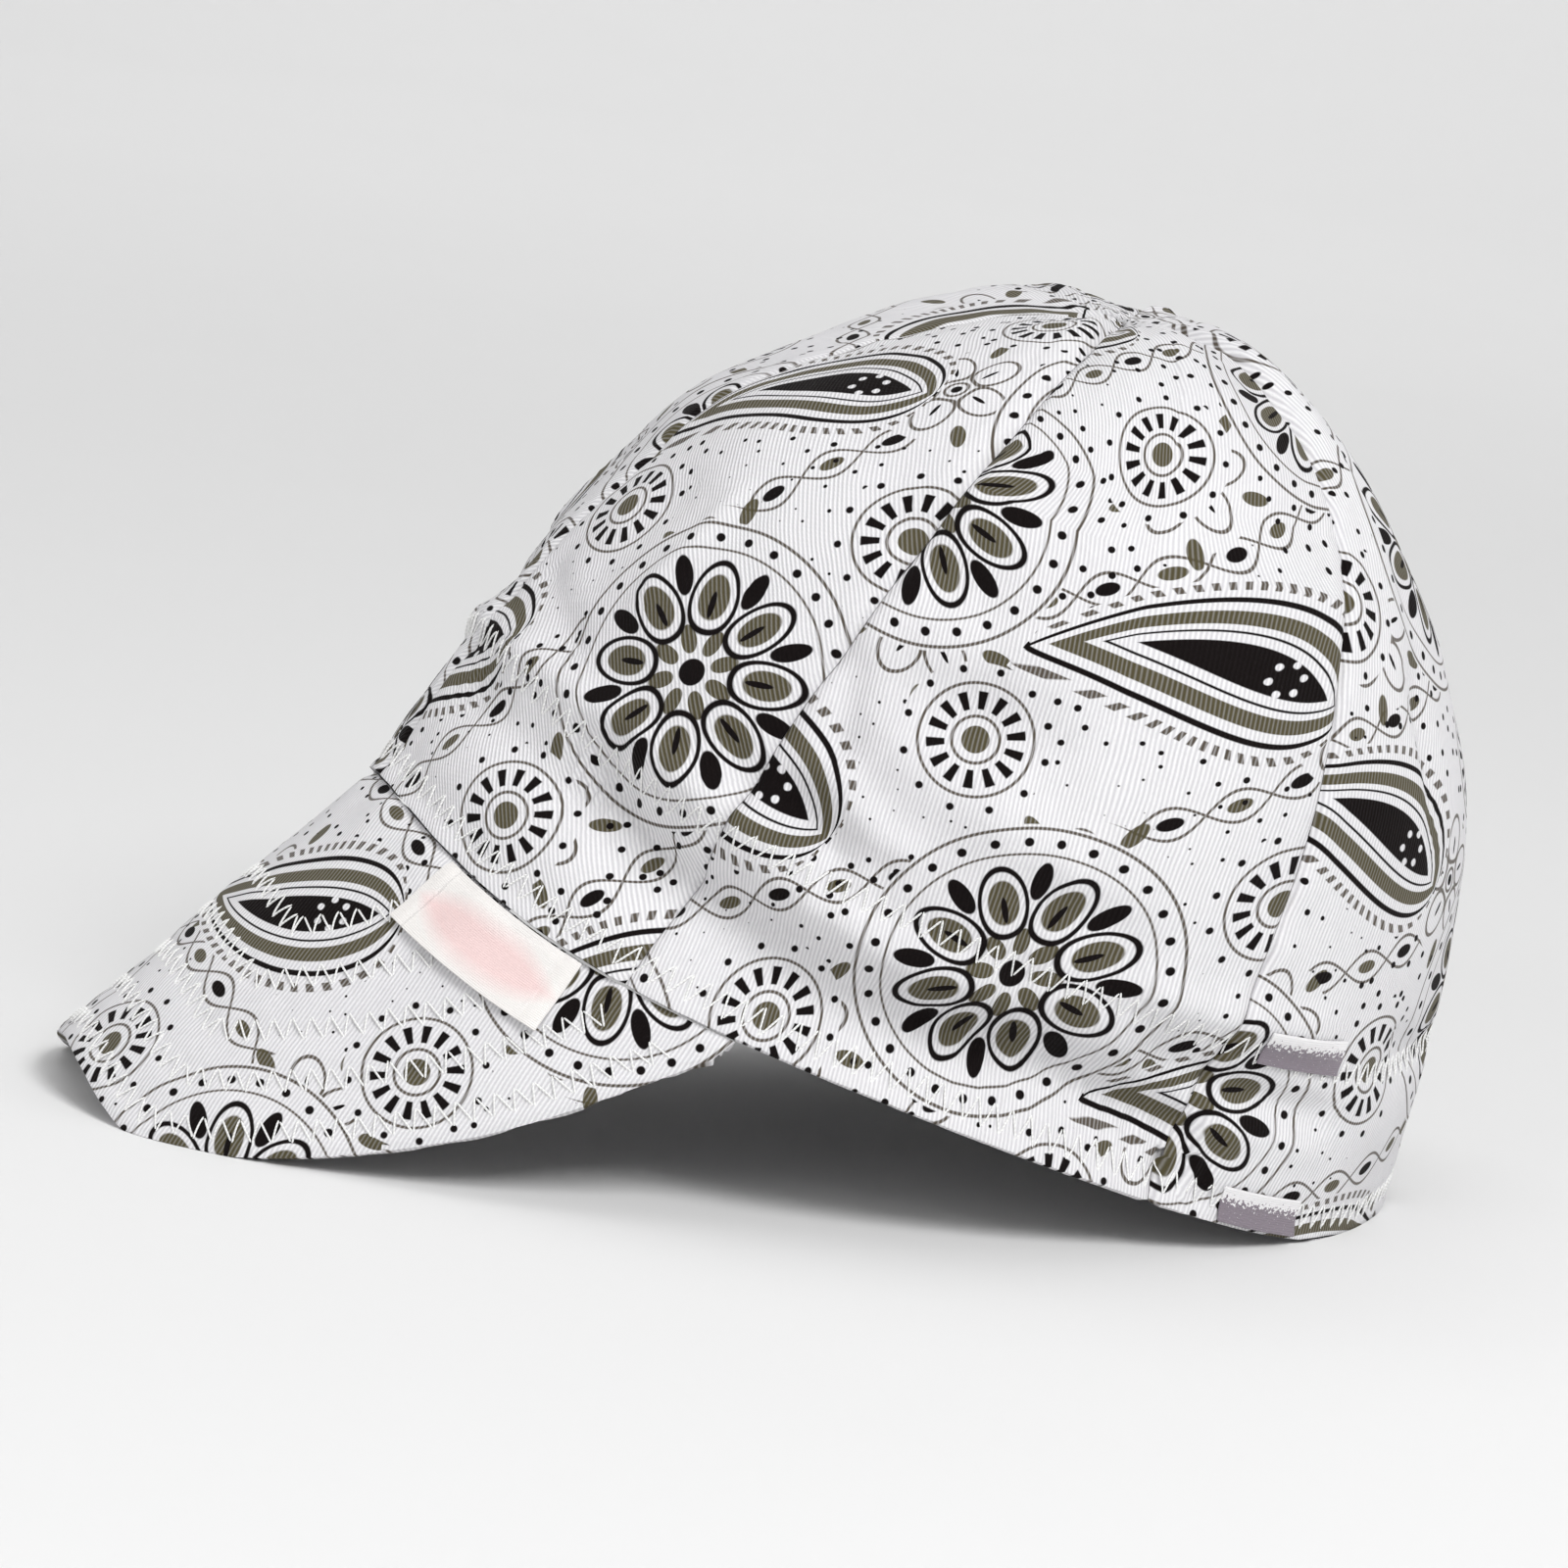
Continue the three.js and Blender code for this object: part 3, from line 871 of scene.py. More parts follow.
@dataclass(frozen=True)
class PrintDesign:
    """A generic print of rosettes, teardrops and wandering vines, in three inks."""

    repeat: float = 92.0
    turn: float = 24.0
    second_repeat: float = 57.0
    second_turn: float = 17.0
    NAME = "cloth print"

    def group(self) -> bpy.types.NodeTree:
        """Builds the group once and gives it.

        Returns:
            The group's tree.
        """
        if self.NAME in bpy.data.node_groups:
            return bpy.data.node_groups[self.NAME]
        inks = {name: "NodeSocketFloat" for name in ("Black", "Olive", "Line")}
        tree, inside, outside = new_group(self.NAME, {"Cloth": "NodeSocketVector"}, inks)
        kit = NodeKit(tree)
        x, y = kit.turned(*kit.split(inside.outputs["Cloth"]), self.turn)
        half = self.repeat / 2
        upper = [
            self.rosette(kit, *self.cell(kit, x, y, 0, 0, self.repeat)),
            self.teardrop(kit, *self.cell(kit, x, y, half, half, self.repeat)),
            self.sun(kit, *self.cell(kit, x, y, 0, half, self.repeat)),
            self.sun(kit, *self.cell(kit, x, y, half, 0, self.repeat)),
        ]
        room = self.merged(kit, [masks["Room"] for masks in upper])
        turned = kit.turned(x, y, self.second_turn)
        middle = self.daisy(kit, *self.cell(kit, *turned, 11.0, 17.0, self.second_repeat))
        both = self.merged(kit, [room, middle["Room"]])
        lower = [self.vines(kit, x, y), self.scatter(kit, x, y)]
        found = upper + self.cleared([middle], room) + self.cleared(lower, both)
        for name in inks:
            total = self.merged(kit, [masks[name] for masks in found if name in masks])
            kit.feed(outside.inputs[name], total)
        return tree

    def merged(self, kit: NodeKit, masks: list[FieldValue]) -> FieldValue:
        """Joins masks into one.

        Args:
            kit: The group's node kit.
            masks: The masks.

        Returns:
            Their greatest value at each place.
        """
        total = masks[0]
        for mask in masks[1:]:
            total = kit.math("MAXIMUM", total, mask)
        return total

    def cleared(self, layers: list[dict[str, FieldValue]], room: FieldValue) -> list[dict[str, FieldValue]]:
        """Takes the room of the motifs above out of the masks of the layers below."""
        free = 1.0 - room
        return [{name: mask * free for name, mask in masks.items()} for masks in layers]

    def cell(
        self, kit: NodeKit, x: FieldValue, y: FieldValue, across: float, up: float, repeat: float
    ) -> tuple[FieldValue, FieldValue]:
        """Repeats the coordinates about the middles of a square lattice, set off by across and up."""
        half = repeat / 2
        return kit.math("WRAP", x + across, half, -half), kit.math("WRAP", y + up, half, -half)

    def polar(self, kit: NodeKit, x: FieldValue, y: FieldValue) -> tuple[FieldValue, FieldValue]:
        """The distance and the angle, in radians, from a motif's middle."""
        return kit.math("SQRT", x * x + y * y), kit.math("ARCTAN2", y, x)

    def dots(
        self, kit: NodeKit, radius: FieldValue, turn: FieldValue, at: float, count: int, size: float
    ) -> FieldValue:
        """A ring of round dots as a mask.

        Args:
            kit: The group's node kit.
            radius: The distance from the motif's middle.
            turn: The angle about it, in radians.
            at: The ring's radius.
            count: How many dots it has.
            size: Each dot's radius.

        Returns:
            The mask.
        """
        step = 2 * math.pi / count
        local = kit.math("WRAP", turn, step / 2, -step / 2) * radius
        out = radius - at
        return kit.ink(kit.math("SQRT", local * local + out * out), size)

    def petals(
        self,
        kit: NodeKit,
        radius: FieldValue,
        turn: FieldValue,
        at: float,
        count: int,
        wide: float,
        tall: float,
    ) -> FieldValue:
        """A ring of oval petals as a measure that is 1 on their outline and 0 at their middles.

        Args:
            kit: The group's node kit.
            radius: The distance from the motif's middle.
            turn: The angle about it, in radians.
            at: How far out the petals' middles lie.
            count: How many there are.
            wide: Half a petal's width.
            tall: Half a petal's length.

        Returns:
            The measure.
        """
        step = 2 * math.pi / count
        local = kit.math("WRAP", turn, step / 2, -step / 2) * radius / wide
        out = (radius - at) / tall
        return kit.math("SQRT", local * local + out * out)

    def rosette(self, kit: NodeKit, x: FieldValue, y: FieldValue) -> dict[str, FieldValue]:
        """A heavy eight-petal rosette with black and olive petals inside a ring of dots.

        Args:
            kit: The group's node kit.
            x: Millimetres across from the motif's middle.
            y: Millimetres up from the motif's middle.

        Returns:
            The motif's masks by ink, and the room that it takes.
        """
        radius, turn = self.polar(kit, x, y)
        outer = self.petals(kit, radius, turn, 14.5, 8, 4.6, 7.2)
        between = self.petals(kit, radius, turn + math.pi / 8, 18.6, 8, 1.9, 4.2)
        inner = self.petals(kit, radius, turn + math.pi / 8, 6.4, 8, 1.7, 3.0)
        outline = kit.ink(abs(outer - 0.94), 0.085, 0.045)
        vein = kit.ink(self.petals(kit, radius, turn, 13.0, 8, 0.65, 2.9), 0.9, 0.14)
        black = [outline, vein, kit.ink(between, 0.92, 0.08), kit.ink(radius, 2.6)]
        black.append(self.dots(kit, radius, turn, 26.2, 28, 0.85))
        olive = [kit.ink(outer, 0.62, 0.06), kit.ink(inner, 0.9, 0.08)]
        line = kit.math("MAXIMUM", kit.ink(abs(radius - 28.8), 0.3), kit.ink(abs(radius - 23.9), 0.22))
        return {
            "Black": self.merged(kit, black),
            "Olive": self.merged(kit, olive),
            "Line": line,
            "Room": kit.ink(radius, 29.6),
        }

    def teardrop(self, kit: NodeKit, x: FieldValue, y: FieldValue) -> dict[str, FieldValue]:
        """A curled teardrop with nested outlines and a fringe of short strokes.

        Args:
            kit: The group's node kit.
            x: Millimetres across from the motif's middle.
            y: Millimetres up from the motif's middle.

        Returns:
            The motif's masks by ink, and the room that it takes.
        """
        x, y = kit.turned(x, y, 38)
        share = kit.math("MULTIPLY_ADD", y, 1 / 54, 21 / 54, clamp=True)
        bent = x + share * share * share * 21.0 - 4.0
        rounding = kit.math("POWER", share, 0.5) * kit.math("POWER", 1.0 - share, 0.85)
        outside = kit.math("GREATER_THAN", abs(y - 6.0), 27.5) * 20.0
        measure = abs(bent) - rounding * 32.0 + outside
        strokes = kit.math("SINE", kit.math("ARCTAN2", y - 2.0, x) * 42)
        fringe = kit.ink(abs(measure - 3.4), 0.95) * kit.ink(strokes, -0.1, 0.5)
        seeds = self.dots(kit, *self.polar(kit, bent, y + 6.0), 3.2, 6, 0.75)
        core = kit.ink(measure, -9.0) * (1.0 - seeds)
        black = [kit.ink(abs(measure - 0.2), 0.58), core, kit.ink(abs(measure + 6.9), 0.25)]
        return {
            "Black": self.merged(kit, black),
            "Olive": kit.ink(abs(measure + 3.8), 1.5),
            "Line": fringe,
            "Room": kit.ink(measure, 5.2),
        }

    def daisy(self, kit: NodeKit, x: FieldValue, y: FieldValue) -> dict[str, FieldValue]:
        """A thin five-petal flower drawn in line, with small leaves.

        Args:
            kit: The group's node kit.
            x: Millimetres across from the motif's middle.
            y: Millimetres up from the motif's middle.

        Returns:
            The motif's masks by ink, and the room that it takes.
        """
        radius, turn = self.polar(kit, x, y)
        petals = self.petals(kit, radius, turn + 0.3, 7.8, 5, 3.9, 4.6)
        line = kit.ink(abs(petals - 0.95), 0.085, 0.05)
        line = kit.math("MAXIMUM", line, kit.ink(abs(radius - 2.2), 0.32))
        leaves = kit.ink(self.petals(kit, radius, turn + 0.93, 14.4, 5, 1.5, 3.2), 0.92, 0.1)
        veins = kit.ink(self.petals(kit, radius, turn + 0.3, 6.6, 5, 0.45, 1.9), 0.9, 0.2)
        black = kit.math("MAXIMUM", kit.ink(radius, 1.1), veins)
        return {"Line": line, "Olive": leaves, "Black": black, "Room": kit.ink(radius, 14.5)}

    def sun(self, kit: NodeKit, x: FieldValue, y: FieldValue) -> dict[str, FieldValue]:
        """A small disc with rays and two thin rings.

        Args:
            kit: The group's node kit.
            x: Millimetres across from the motif's middle.
            y: Millimetres up from the motif's middle.

        Returns:
            The motif's masks by ink, and the room that it takes.
        """
        radius, turn = self.polar(kit, x, y)
        rays = kit.ink(kit.math("SINE", turn * 14), -0.15, 0.4) * kit.ink(abs(radius - 7.4), 1.7)
        rings = kit.math("MAXIMUM", kit.ink(abs(radius - 4.4), 0.3), kit.ink(abs(radius - 10.6), 0.28))
        dots = self.dots(kit, radius, turn, 13.2, 12, 0.7)
        black = kit.math("MAXIMUM", rays, dots)
        return {"Line": rings, "Olive": kit.ink(radius, 2.6), "Black": black, "Room": kit.ink(radius, 14.4)}

    def vines(self, kit: NodeKit, x: FieldValue, y: FieldValue) -> dict[str, FieldValue]:
        """Two crossing wavy stems between the rows of motifs, with black and olive leaves in turn.

        Args:
            kit: The group's node kit.
            x: Millimetres across the printed cloth.
            y: Millimetres up the printed cloth.

        Returns:
            The masks by ink.
        """
        half = self.repeat / 2
        local = kit.math("WRAP", y + half / 2, half / 2, -half / 2)
        wave = kit.math("SINE", x * (2 * math.pi / 23.0)) * 3.1
        stems = kit.math("MAXIMUM", kit.ink(abs(local - wave), 0.32), kit.ink(abs(local + wave), 0.32))
        leaves = []
        for offset in (5.75, -5.75):
            step = kit.math("WRAP", x + offset, 11.5, -11.5)
            leaf = kit.math("SQRT", step * step / 6.6 + local * local / 1.9)
            leaves.append(kit.ink(leaf, 0.9, 0.12))
        return {"Line": stems, "Olive": leaves[0], "Black": leaves[1]}

    def scatter(self, kit: NodeKit, x: FieldValue, y: FieldValue) -> dict[str, FieldValue]:
        """Loose dots in broad patches of the ground.

        Args:
            kit: The group's node kit.
            x: Millimetres across the printed cloth.
            y: Millimetres up the printed cloth.

        Returns:
            The masks by ink.
        """
        joined = kit.add("ShaderNodeCombineXYZ")
        kit.feed(joined.inputs[0], x)
        kit.feed(joined.inputs[1], y)
        cells = kit.add("ShaderNodeTexVoronoi", voronoi_dimensions="2D")
        kit.feed(cells.inputs["Vector"], joined.outputs[0])
        cells.inputs["Scale"].default_value = 0.19
        cells.inputs["Randomness"].default_value = 0.75
        patch = kit.noise(joined.outputs[0], 0.02, 1.0)
        size = kit.math("MINIMUM", kit.math("MULTIPLY_ADD", patch, 0.8, -0.28), 0.13)
        dots = kit.ink(FieldValue(kit, cells.outputs["Distance"]) - size, 0.0, 0.03)
        return {"Black": dots}


def material_with(name: str) -> tuple[bpy.types.Material, NodeKit, bpy.types.Node]:
    """Starts a node material.

    Args:
        name: The material's name.

    Returns:
        The material, its node kit and its Principled shader.
    """
    material = bpy.data.materials.new(name)
    material.use_nodes = True
    return material, NodeKit(material.node_tree), material.node_tree.nodes["Principled BSDF"]


@dataclass(frozen=True)
class TwillFinish:
    """Cotton twill, printed or plain, dressed through the piece's own cloth coordinates, with painted shade
    darkening the grooves between its ribs.
    """

    name: str
    ground: tuple = (0.845, 0.84, 0.85)
    # The dark end of the cloth's colour: painted shade in the grooves between the ribs, and what the broad
    # stains darken towards
    shade: tuple = (0.56, 0.55, 0.575)
    black: tuple = (0.007, 0.005, 0.005)
    olive: tuple = (0.078, 0.067, 0.036)
    line: tuple = (0.085, 0.07, 0.055)
    print_strength: float = 1.0
    rib_pitch: float = 0.82
    relief_depth: float = 0.00016
    roughness: float = 0.93
    specular: float = 0.06
    sheen: float = 0.03

    def build(self) -> bpy.types.Material:
        """Builds the material and gives it.

        Returns:
            The material.
        """
        material, kit, shader = material_with(self.name)
        cloth = kit.add("ShaderNodeUVMap", uv_map=CLOTH_UV).outputs[0]
        weave = kit.add("ShaderNodeGroup", node_tree=TwillWeave.group())
        kit.feed(weave.inputs["Cloth"], cloth)
        weave.inputs["Pitch"].default_value = self.rib_pitch
        wear = kit.add("ShaderNodeGroup", node_tree=ShopWear.group())
        kit.feed(wear.inputs["Cloth"], cloth)
        rib = FieldValue(kit, weave.outputs["Rib"])
        # Painted shade: where the rib mask is low, in the grooves between the ribs, the colour goes towards
        # the darker shade; the broad stains darken it too
        lit = kit.math("MULTIPLY_ADD", rib, 0.85, 0.15) * kit.math(
            "MULTIPLY_ADD", FieldValue(kit, wear.outputs["Tone"]), 1.1, 0.38, clamp=True
        )
        colour = kit.blend(lit, (*self.shade, 1), (*self.ground, 1))
        if self.print_strength > 0:
            inks = kit.add("ShaderNodeGroup", node_tree=PrintDesign().group())
            kit.feed(inks.inputs["Cloth"], cloth)
            layers = (("Line", self.line, -0.3), ("Olive", self.olive, -0.17), ("Black", self.black, 0.0))
            for ink, tone, thinning in layers:
                cover = kit.math("MULTIPLY_ADD", rib * rib, thinning, 1.0) * self.print_strength
                share = FieldValue(kit, inks.outputs[ink]) * cover
                colour = kit.blend(share, colour, (*tone, 1))
        kit.feed(shader.inputs["Base Color"], colour)
        shader.inputs["Roughness"].default_value = self.roughness
        shader.inputs["Specular IOR Level"].default_value = self.specular
        shader.inputs["Sheen Weight"].default_value = self.sheen
        shader.inputs["Sheen Roughness"].default_value = 0.5
        relief = kit.add("ShaderNodeBump")
        relief.inputs["Strength"].default_value = 0.9
        relief.inputs["Distance"].default_value = self.relief_depth
        kit.feed(relief.inputs["Height"], weave.outputs["Height"])
        kit.feed(shader.inputs["Normal"], relief.outputs[0])
        return material


@dataclass(frozen=True)
class ThreadFinish:
    """Twisted white sewing thread with a slight gloss, its twist grooves darkened with painted shade."""

    name: str = "sewing_thread"
    colour: tuple = (0.9, 0.9, 0.89)

    def build(self) -> bpy.types.Material:
        """Builds the material and gives it.

        Returns:
            The material.
        """
        material, kit, shader = material_with(self.name)
        along, around = kit.split(kit.add("ShaderNodeUVMap", uv_map=CLOTH_UV).outputs[0])
        twist = kit.math("SINE", along * 9.0 + around * (2 * math.pi))
        share = kit.math("MULTIPLY_ADD", twist, 0.5, 0.5)
        # Painted shade: the twist's grooves are coloured darker than the thread itself
        shade = tuple(part * 0.86 for part in self.colour)
        kit.feed(shader.inputs["Base Color"], kit.blend(share, (*shade, 1), (*self.colour, 1)))
        shader.inputs["Roughness"].default_value = 0.55
        relief = kit.add("ShaderNodeBump")
        relief.inputs["Distance"].default_value = 0.00004
        kit.feed(relief.inputs["Height"], twist)
        kit.feed(shader.inputs["Normal"], relief.outputs[0])
        return material


@dataclass(frozen=True)
class SatinFinish:
    """Satin ribbon: fine cross ribs, a soft gloss, and a tint or a speckled band of a second colour."""

    name: str
    ground: tuple
    accent: tuple
    speckled: bool
    length: float
    width: float
    fold: float = 0.0
    across_rib: float = 0.42
    along_rib: float = 0.3

    def build(self) -> bpy.types.Material:
        """Builds the material and gives it.

        Returns:
            The material.
        """
        material, kit, shader = material_with(self.name)
        cloth = kit.add("ShaderNodeUVMap", uv_map=CLOTH_UV).outputs[0]
        x, y = kit.split(cloth)
        if self.speckled:
            grain = kit.noise(cloth, 1.5, 3.0)
            edge = y / self.width + (grain - 0.5) * 1.1
            band = kit.math("MULTIPLY_ADD", edge, 24.0, -14.9, clamp=True)
            specks = kit.math("MULTIPLY_ADD", kit.noise(cloth, 2.9, 1.0), 22.0, -15.6, clamp=True)
            share = kit.math("MAXIMUM", band, specks)
        else:
            middle = abs(y - self.width * 0.46) / (self.width * 0.42)
            inward = abs(x - self.length * 0.5) / (self.length * 0.5)
            cloud = kit.noise(cloth, 0.045, 1.0) * 0.5
            tint = kit.math("SUBTRACT", cloud + 0.95 - middle, inward * inward * inward)
            share = kit.math("MULTIPLY_ADD", tint, 1.7, -0.3, clamp=True)
        kit.feed(shader.inputs["Base Color"], kit.blend(share, (*self.ground, 1), (*self.accent, 1)))
        shader.inputs["Roughness"].default_value = 0.42
        shader.inputs["Sheen Weight"].default_value = 0.2
        ribs = kit.math("SINE", y * (2 * math.pi / self.across_rib))
        ribs = ribs + kit.math("SINE", x * (2 * math.pi / self.along_rib)) * 0.35
        if self.fold:
            past = kit.math("SUBTRACT", abs(x - self.length / 2), self.length / 2 - self.fold)
            ribs = ribs - kit.math("MULTIPLY_ADD", past, 3.0, 0.5, clamp=True) * 9.0
        relief = kit.add("ShaderNodeBump")
        relief.inputs["Strength"].default_value = 0.5
        relief.inputs["Distance"].default_value = 0.00006
        kit.feed(relief.inputs["Height"], ribs)
        kit.feed(shader.inputs["Normal"], relief.outputs[0])
        return material


@dataclass(frozen=True)
class FloorFinish:
    """Matt pale studio floor with a trace of unevenness."""

    name: str = "studio_floor"
    colour: tuple = (0.79, 0.79, 0.79)

    def build(self) -> bpy.types.Material:
        """Builds the material and gives it.

        Returns:
            The material.
        """
        material, kit, shader = material_with(self.name)
        place = kit.add("ShaderNodeTexCoord").outputs["Object"]
        share = kit.noise(place, 6.0, 2.0)
        dim = tuple(part * 0.985 for part in self.colour)
        kit.feed(shader.inputs["Base Color"], kit.blend(share, (*dim, 1), (*self.colour, 1)))
        shader.inputs["Roughness"].default_value = 0.9
        shader.inputs["Specular IOR Level"].default_value = 0.1
        return material


@dataclass
class Wardrobe:
    """The finishes, built once."""

    printed: bpy.types.Material = field(default_factory=lambda: TwillFinish("printed_twill").build())
    reverse: bpy.types.Material = field(
        default_factory=lambda: TwillFinish("twill_reverse", print_strength=0.16).build()
    )
    plain: bpy.types.Material = field(
        default_factory=lambda: TwillFinish(
            "plain_twill", ground=(0.77, 0.76, 0.75), print_strength=0
        ).build()
    )
    thread: bpy.types.Material = field(default_factory=lambda: ThreadFinish().build())
    label: bpy.types.Material = field(
        default_factory=lambda: SatinFinish(
            "woven_label", (0.79, 0.765, 0.745), (0.8, 0.6, 0.59), False, 36.0, 15.5, 3.8
        ).build()
    )
    tab: bpy.types.Material = field(
        default_factory=lambda: SatinFinish(
            "grey_satin", (0.2, 0.168, 0.2), (0.82, 0.81, 0.82), True, 23.0, 6.8
        ).build()
    )


Place = Callable[[np.ndarray, np.ndarray], tuple[np.ndarray, np.ndarray]]


def deselect_all() -> None:
    """Leaves nothing selected."""
    bpy.ops.object.select_all(action="DESELECT")


def select_only(piece: bpy.types.Object) -> None:
    """Selects one piece alone and makes it the active one.

    Args:
        piece: The piece.
    """
    deselect_all()
    piece.select_set(True)
    bpy.context.view_layer.objects.active = piece


@dataclass(frozen=True)
class Cut:
    """Where a cut piece lay on the printed cloth, in millimetres and degrees."""

    across: float
    up: float
    turn: float

    def lay(self, x: np.ndarray, y: np.ndarray) -> np.ndarray:
        """Puts places of the flat cut on the printed cloth, one row each."""
        cosine, sine = math.cos(math.radians(self.turn)), math.sin(math.radians(self.turn))
        return np.stack([x * cosine + y * sine + self.across, y * cosine - x * sine + self.up], -1)


def cloth_grid(name: str, columns: int, rows: int, place: Place) -> bpy.types.Object:
    """Adds a grid and drapes it.

    Args:
        name: The piece's name.
        columns: Faces across.
        rows: Faces up.
        place: Gives points in metres and cloth coordinates for shares across and up.

    Returns:
        The draped grid, with its place in its mesh.
    """
    deselect_all()
    bpy.ops.mesh.primitive_grid_add(x_subdivisions=columns, y_subdivisions=rows, size=1.0)
    piece = bpy.context.object
    piece.name = name
    piece.data.name = name
    mesh = piece.data
    flat = np.empty(len(mesh.vertices) * 3)
    mesh.vertices.foreach_get("co", flat)
    flat = flat.reshape(-1, 3)
    points, cloth = place(flat[:, 0] + 0.5, flat[:, 1] + 0.5)
    mesh.vertices.foreach_set("co", points.ravel())
    write_cloth(mesh, cloth)
    mesh.update()
    return piece


def write_cloth(mesh: bpy.types.Mesh, cloth: np.ndarray) -> None:
    """Writes one pair of cloth coordinates for each vertex into the piece's own map.

    Args:
        mesh: The piece's mesh.
        cloth: The coordinates, one row for each vertex.
    """
    while mesh.uv_layers:
        mesh.uv_layers.remove(mesh.uv_layers[0])
    layer = mesh.uv_layers.new(name=CLOTH_UV)
    corners = np.empty(len(mesh.loops), dtype=np.int32)
    mesh.loops.foreach_get("vertex_index", corners)
    layer.data.foreach_set("uv", cloth[corners].ravel())


def apply_modifier(piece: bpy.types.Object, kind: str, **settings: object) -> None:
    """Adds a modifier, sets it up and applies it.

    Args:
        piece: The piece.
        kind: The modifier's type.
        **settings: Its properties by name.
    """
    select_only(piece)
    modifier = piece.modifiers.new(kind.lower(), kind)
    for name, value in settings.items():
        setattr(modifier, name, value)
    bpy.ops.object.modifier_apply(modifier=modifier.name)


def give_wall(piece: bpy.types.Object, thickness: float, rounding: float, inner_slot: int = 0) -> None:
    """Gives draped cloth its wall and rounds the wall's edges.

    Args:
        piece: The draped grid, its face outward.
        thickness: The wall, in millimetres.
        rounding: The radius of its edges, in millimetres.
        inner_slot: How many material slots further the wall's inner face lies.
    """
    for _ in range(inner_slot + 1):
        piece.data.materials.append(None)
    apply_modifier(
        piece, "SOLIDIFY", thickness=thickness * MM, offset=-1.0, use_rim=True, material_offset=inner_slot
    )
    apply_modifier(
        piece,
        "BEVEL",
        width=rounding * MM,
        segments=2,
        limit_method="ANGLE",
        angle_limit=math.radians(50),
        use_clamp_overlap=True,
    )
    select_only(piece)
    bpy.ops.object.shade_smooth_by_angle(angle=math.radians(60))


def press_flat(piece: bpy.types.Object) -> None:
    """Flattens the cloth where it lies on the floor.

    Args:
        piece: The piece, with its place in its mesh.
    """
    mesh = piece.data
    flat = np.empty(len(mesh.vertices) * 3)
    mesh.vertices.foreach_get("co", flat)
    points = flat.reshape(-1, 3)
    points[:, 2] = np.maximum(points[:, 2], 0.0)
    mesh.vertices.foreach_set("co", points.ravel())
    mesh.update()


def finish_piece(
    piece: bpy.types.Object, materials: list[bpy.types.Material], replaced: str | None = None
) -> None:
    """Dresses a piece and lets it ride on the cap's one body.

    Args:
        piece: The finished piece.
        materials: Its materials, in slot order.
        replaced: The solid that it stands for.
    """
    press_flat(piece)
    slots = piece.data.materials
    for index, material in enumerate(materials):
        if index < len(slots):
            slots[index] = material
        else:
            slots.append(material)
    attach(piece, "root")
    if replaced:
        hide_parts(replaced)
    log.info("%s: %d faces", piece.name, len(piece.data.polygons))


@dataclass
class Crown:
    """The six gores."""

    shape: CrownShape
    wardrobe: Wardrobe
    wall: float = 1.3
    rounding: float = 0.4
    columns: int = 84
    rows: int = 140
    tip: float = 0.8
    seam_gap: float = 0.05
    cuts: dict = field(
        default_factory=lambda: {
            ("front", Side.LEFT): Cut(31.0, 12.0, 46.0),
            ("front", Side.RIGHT): Cut(160.0, 55.0, -44.0),
            ("side", Side.LEFT): Cut(70.0, 8.0, 10.0),
            ("side", Side.RIGHT): Cut(240.0, 33.0, -6.0),
            ("back", Side.LEFT): Cut(25.0, 71.0, -10.0),
            ("back", Side.RIGHT): Cut(118.0, 20.0, 18.0),
        }
    )

    def build(self) -> None:
        """Builds all six gores."""
        for side in Side:
            for index, name in enumerate(("front", "side", "back")):
                self.gore(name, index, side)

    def gore(self, name: str, index: int, side: Side) -> None:
        """Builds one gore.

        Args:
            name: Where it lies.
            index: The seam that it starts from.
            side: The wearer's side.
        """
        node = f"{name}_gore_{side.name.lower()}"
        cut = self.cuts[(name, side)]
        top = 1 - self.tip / (self.shape.hem_width / 2)

        def place(u: np.ndarray, v: np.ndarray) -> tuple[np.ndarray, np.ndarray]:
            """Lays the gore between its two seams.

            Args:
                u: Shares across the piece.
                v: Shares up the piece.

            Returns:
                Points in metres and cloth coordinates, one row each.
            """
            along = v * top
            share = u if side is Side.LEFT else 1 - u
            start, end = self.shape.seam(index, along), self.shape.seam(index + 1, along)
            middle = (start + end) / 2
            width = self.shape.per_degree(middle, along)
            gap = self.seam_gap / width
            turn_at = start + gap + (end - start - 2 * gap) * share
            angle = side.value * turn_at
            points = self.shape.set_down(self.shape.cloth_point(angle, along))
            x = side.value * (turn_at - middle) * width
            y = self.shape.height(side.value * middle, along)
            return points, cut.lay(x, y)

        piece = cloth_grid(node + "_cloth", self.columns, self.rows, place)
        give_wall(piece, self.wall, self.rounding, inner_slot=1)
        finish_piece(piece, [self.wardrobe.printed, self.wardrobe.reverse], node)


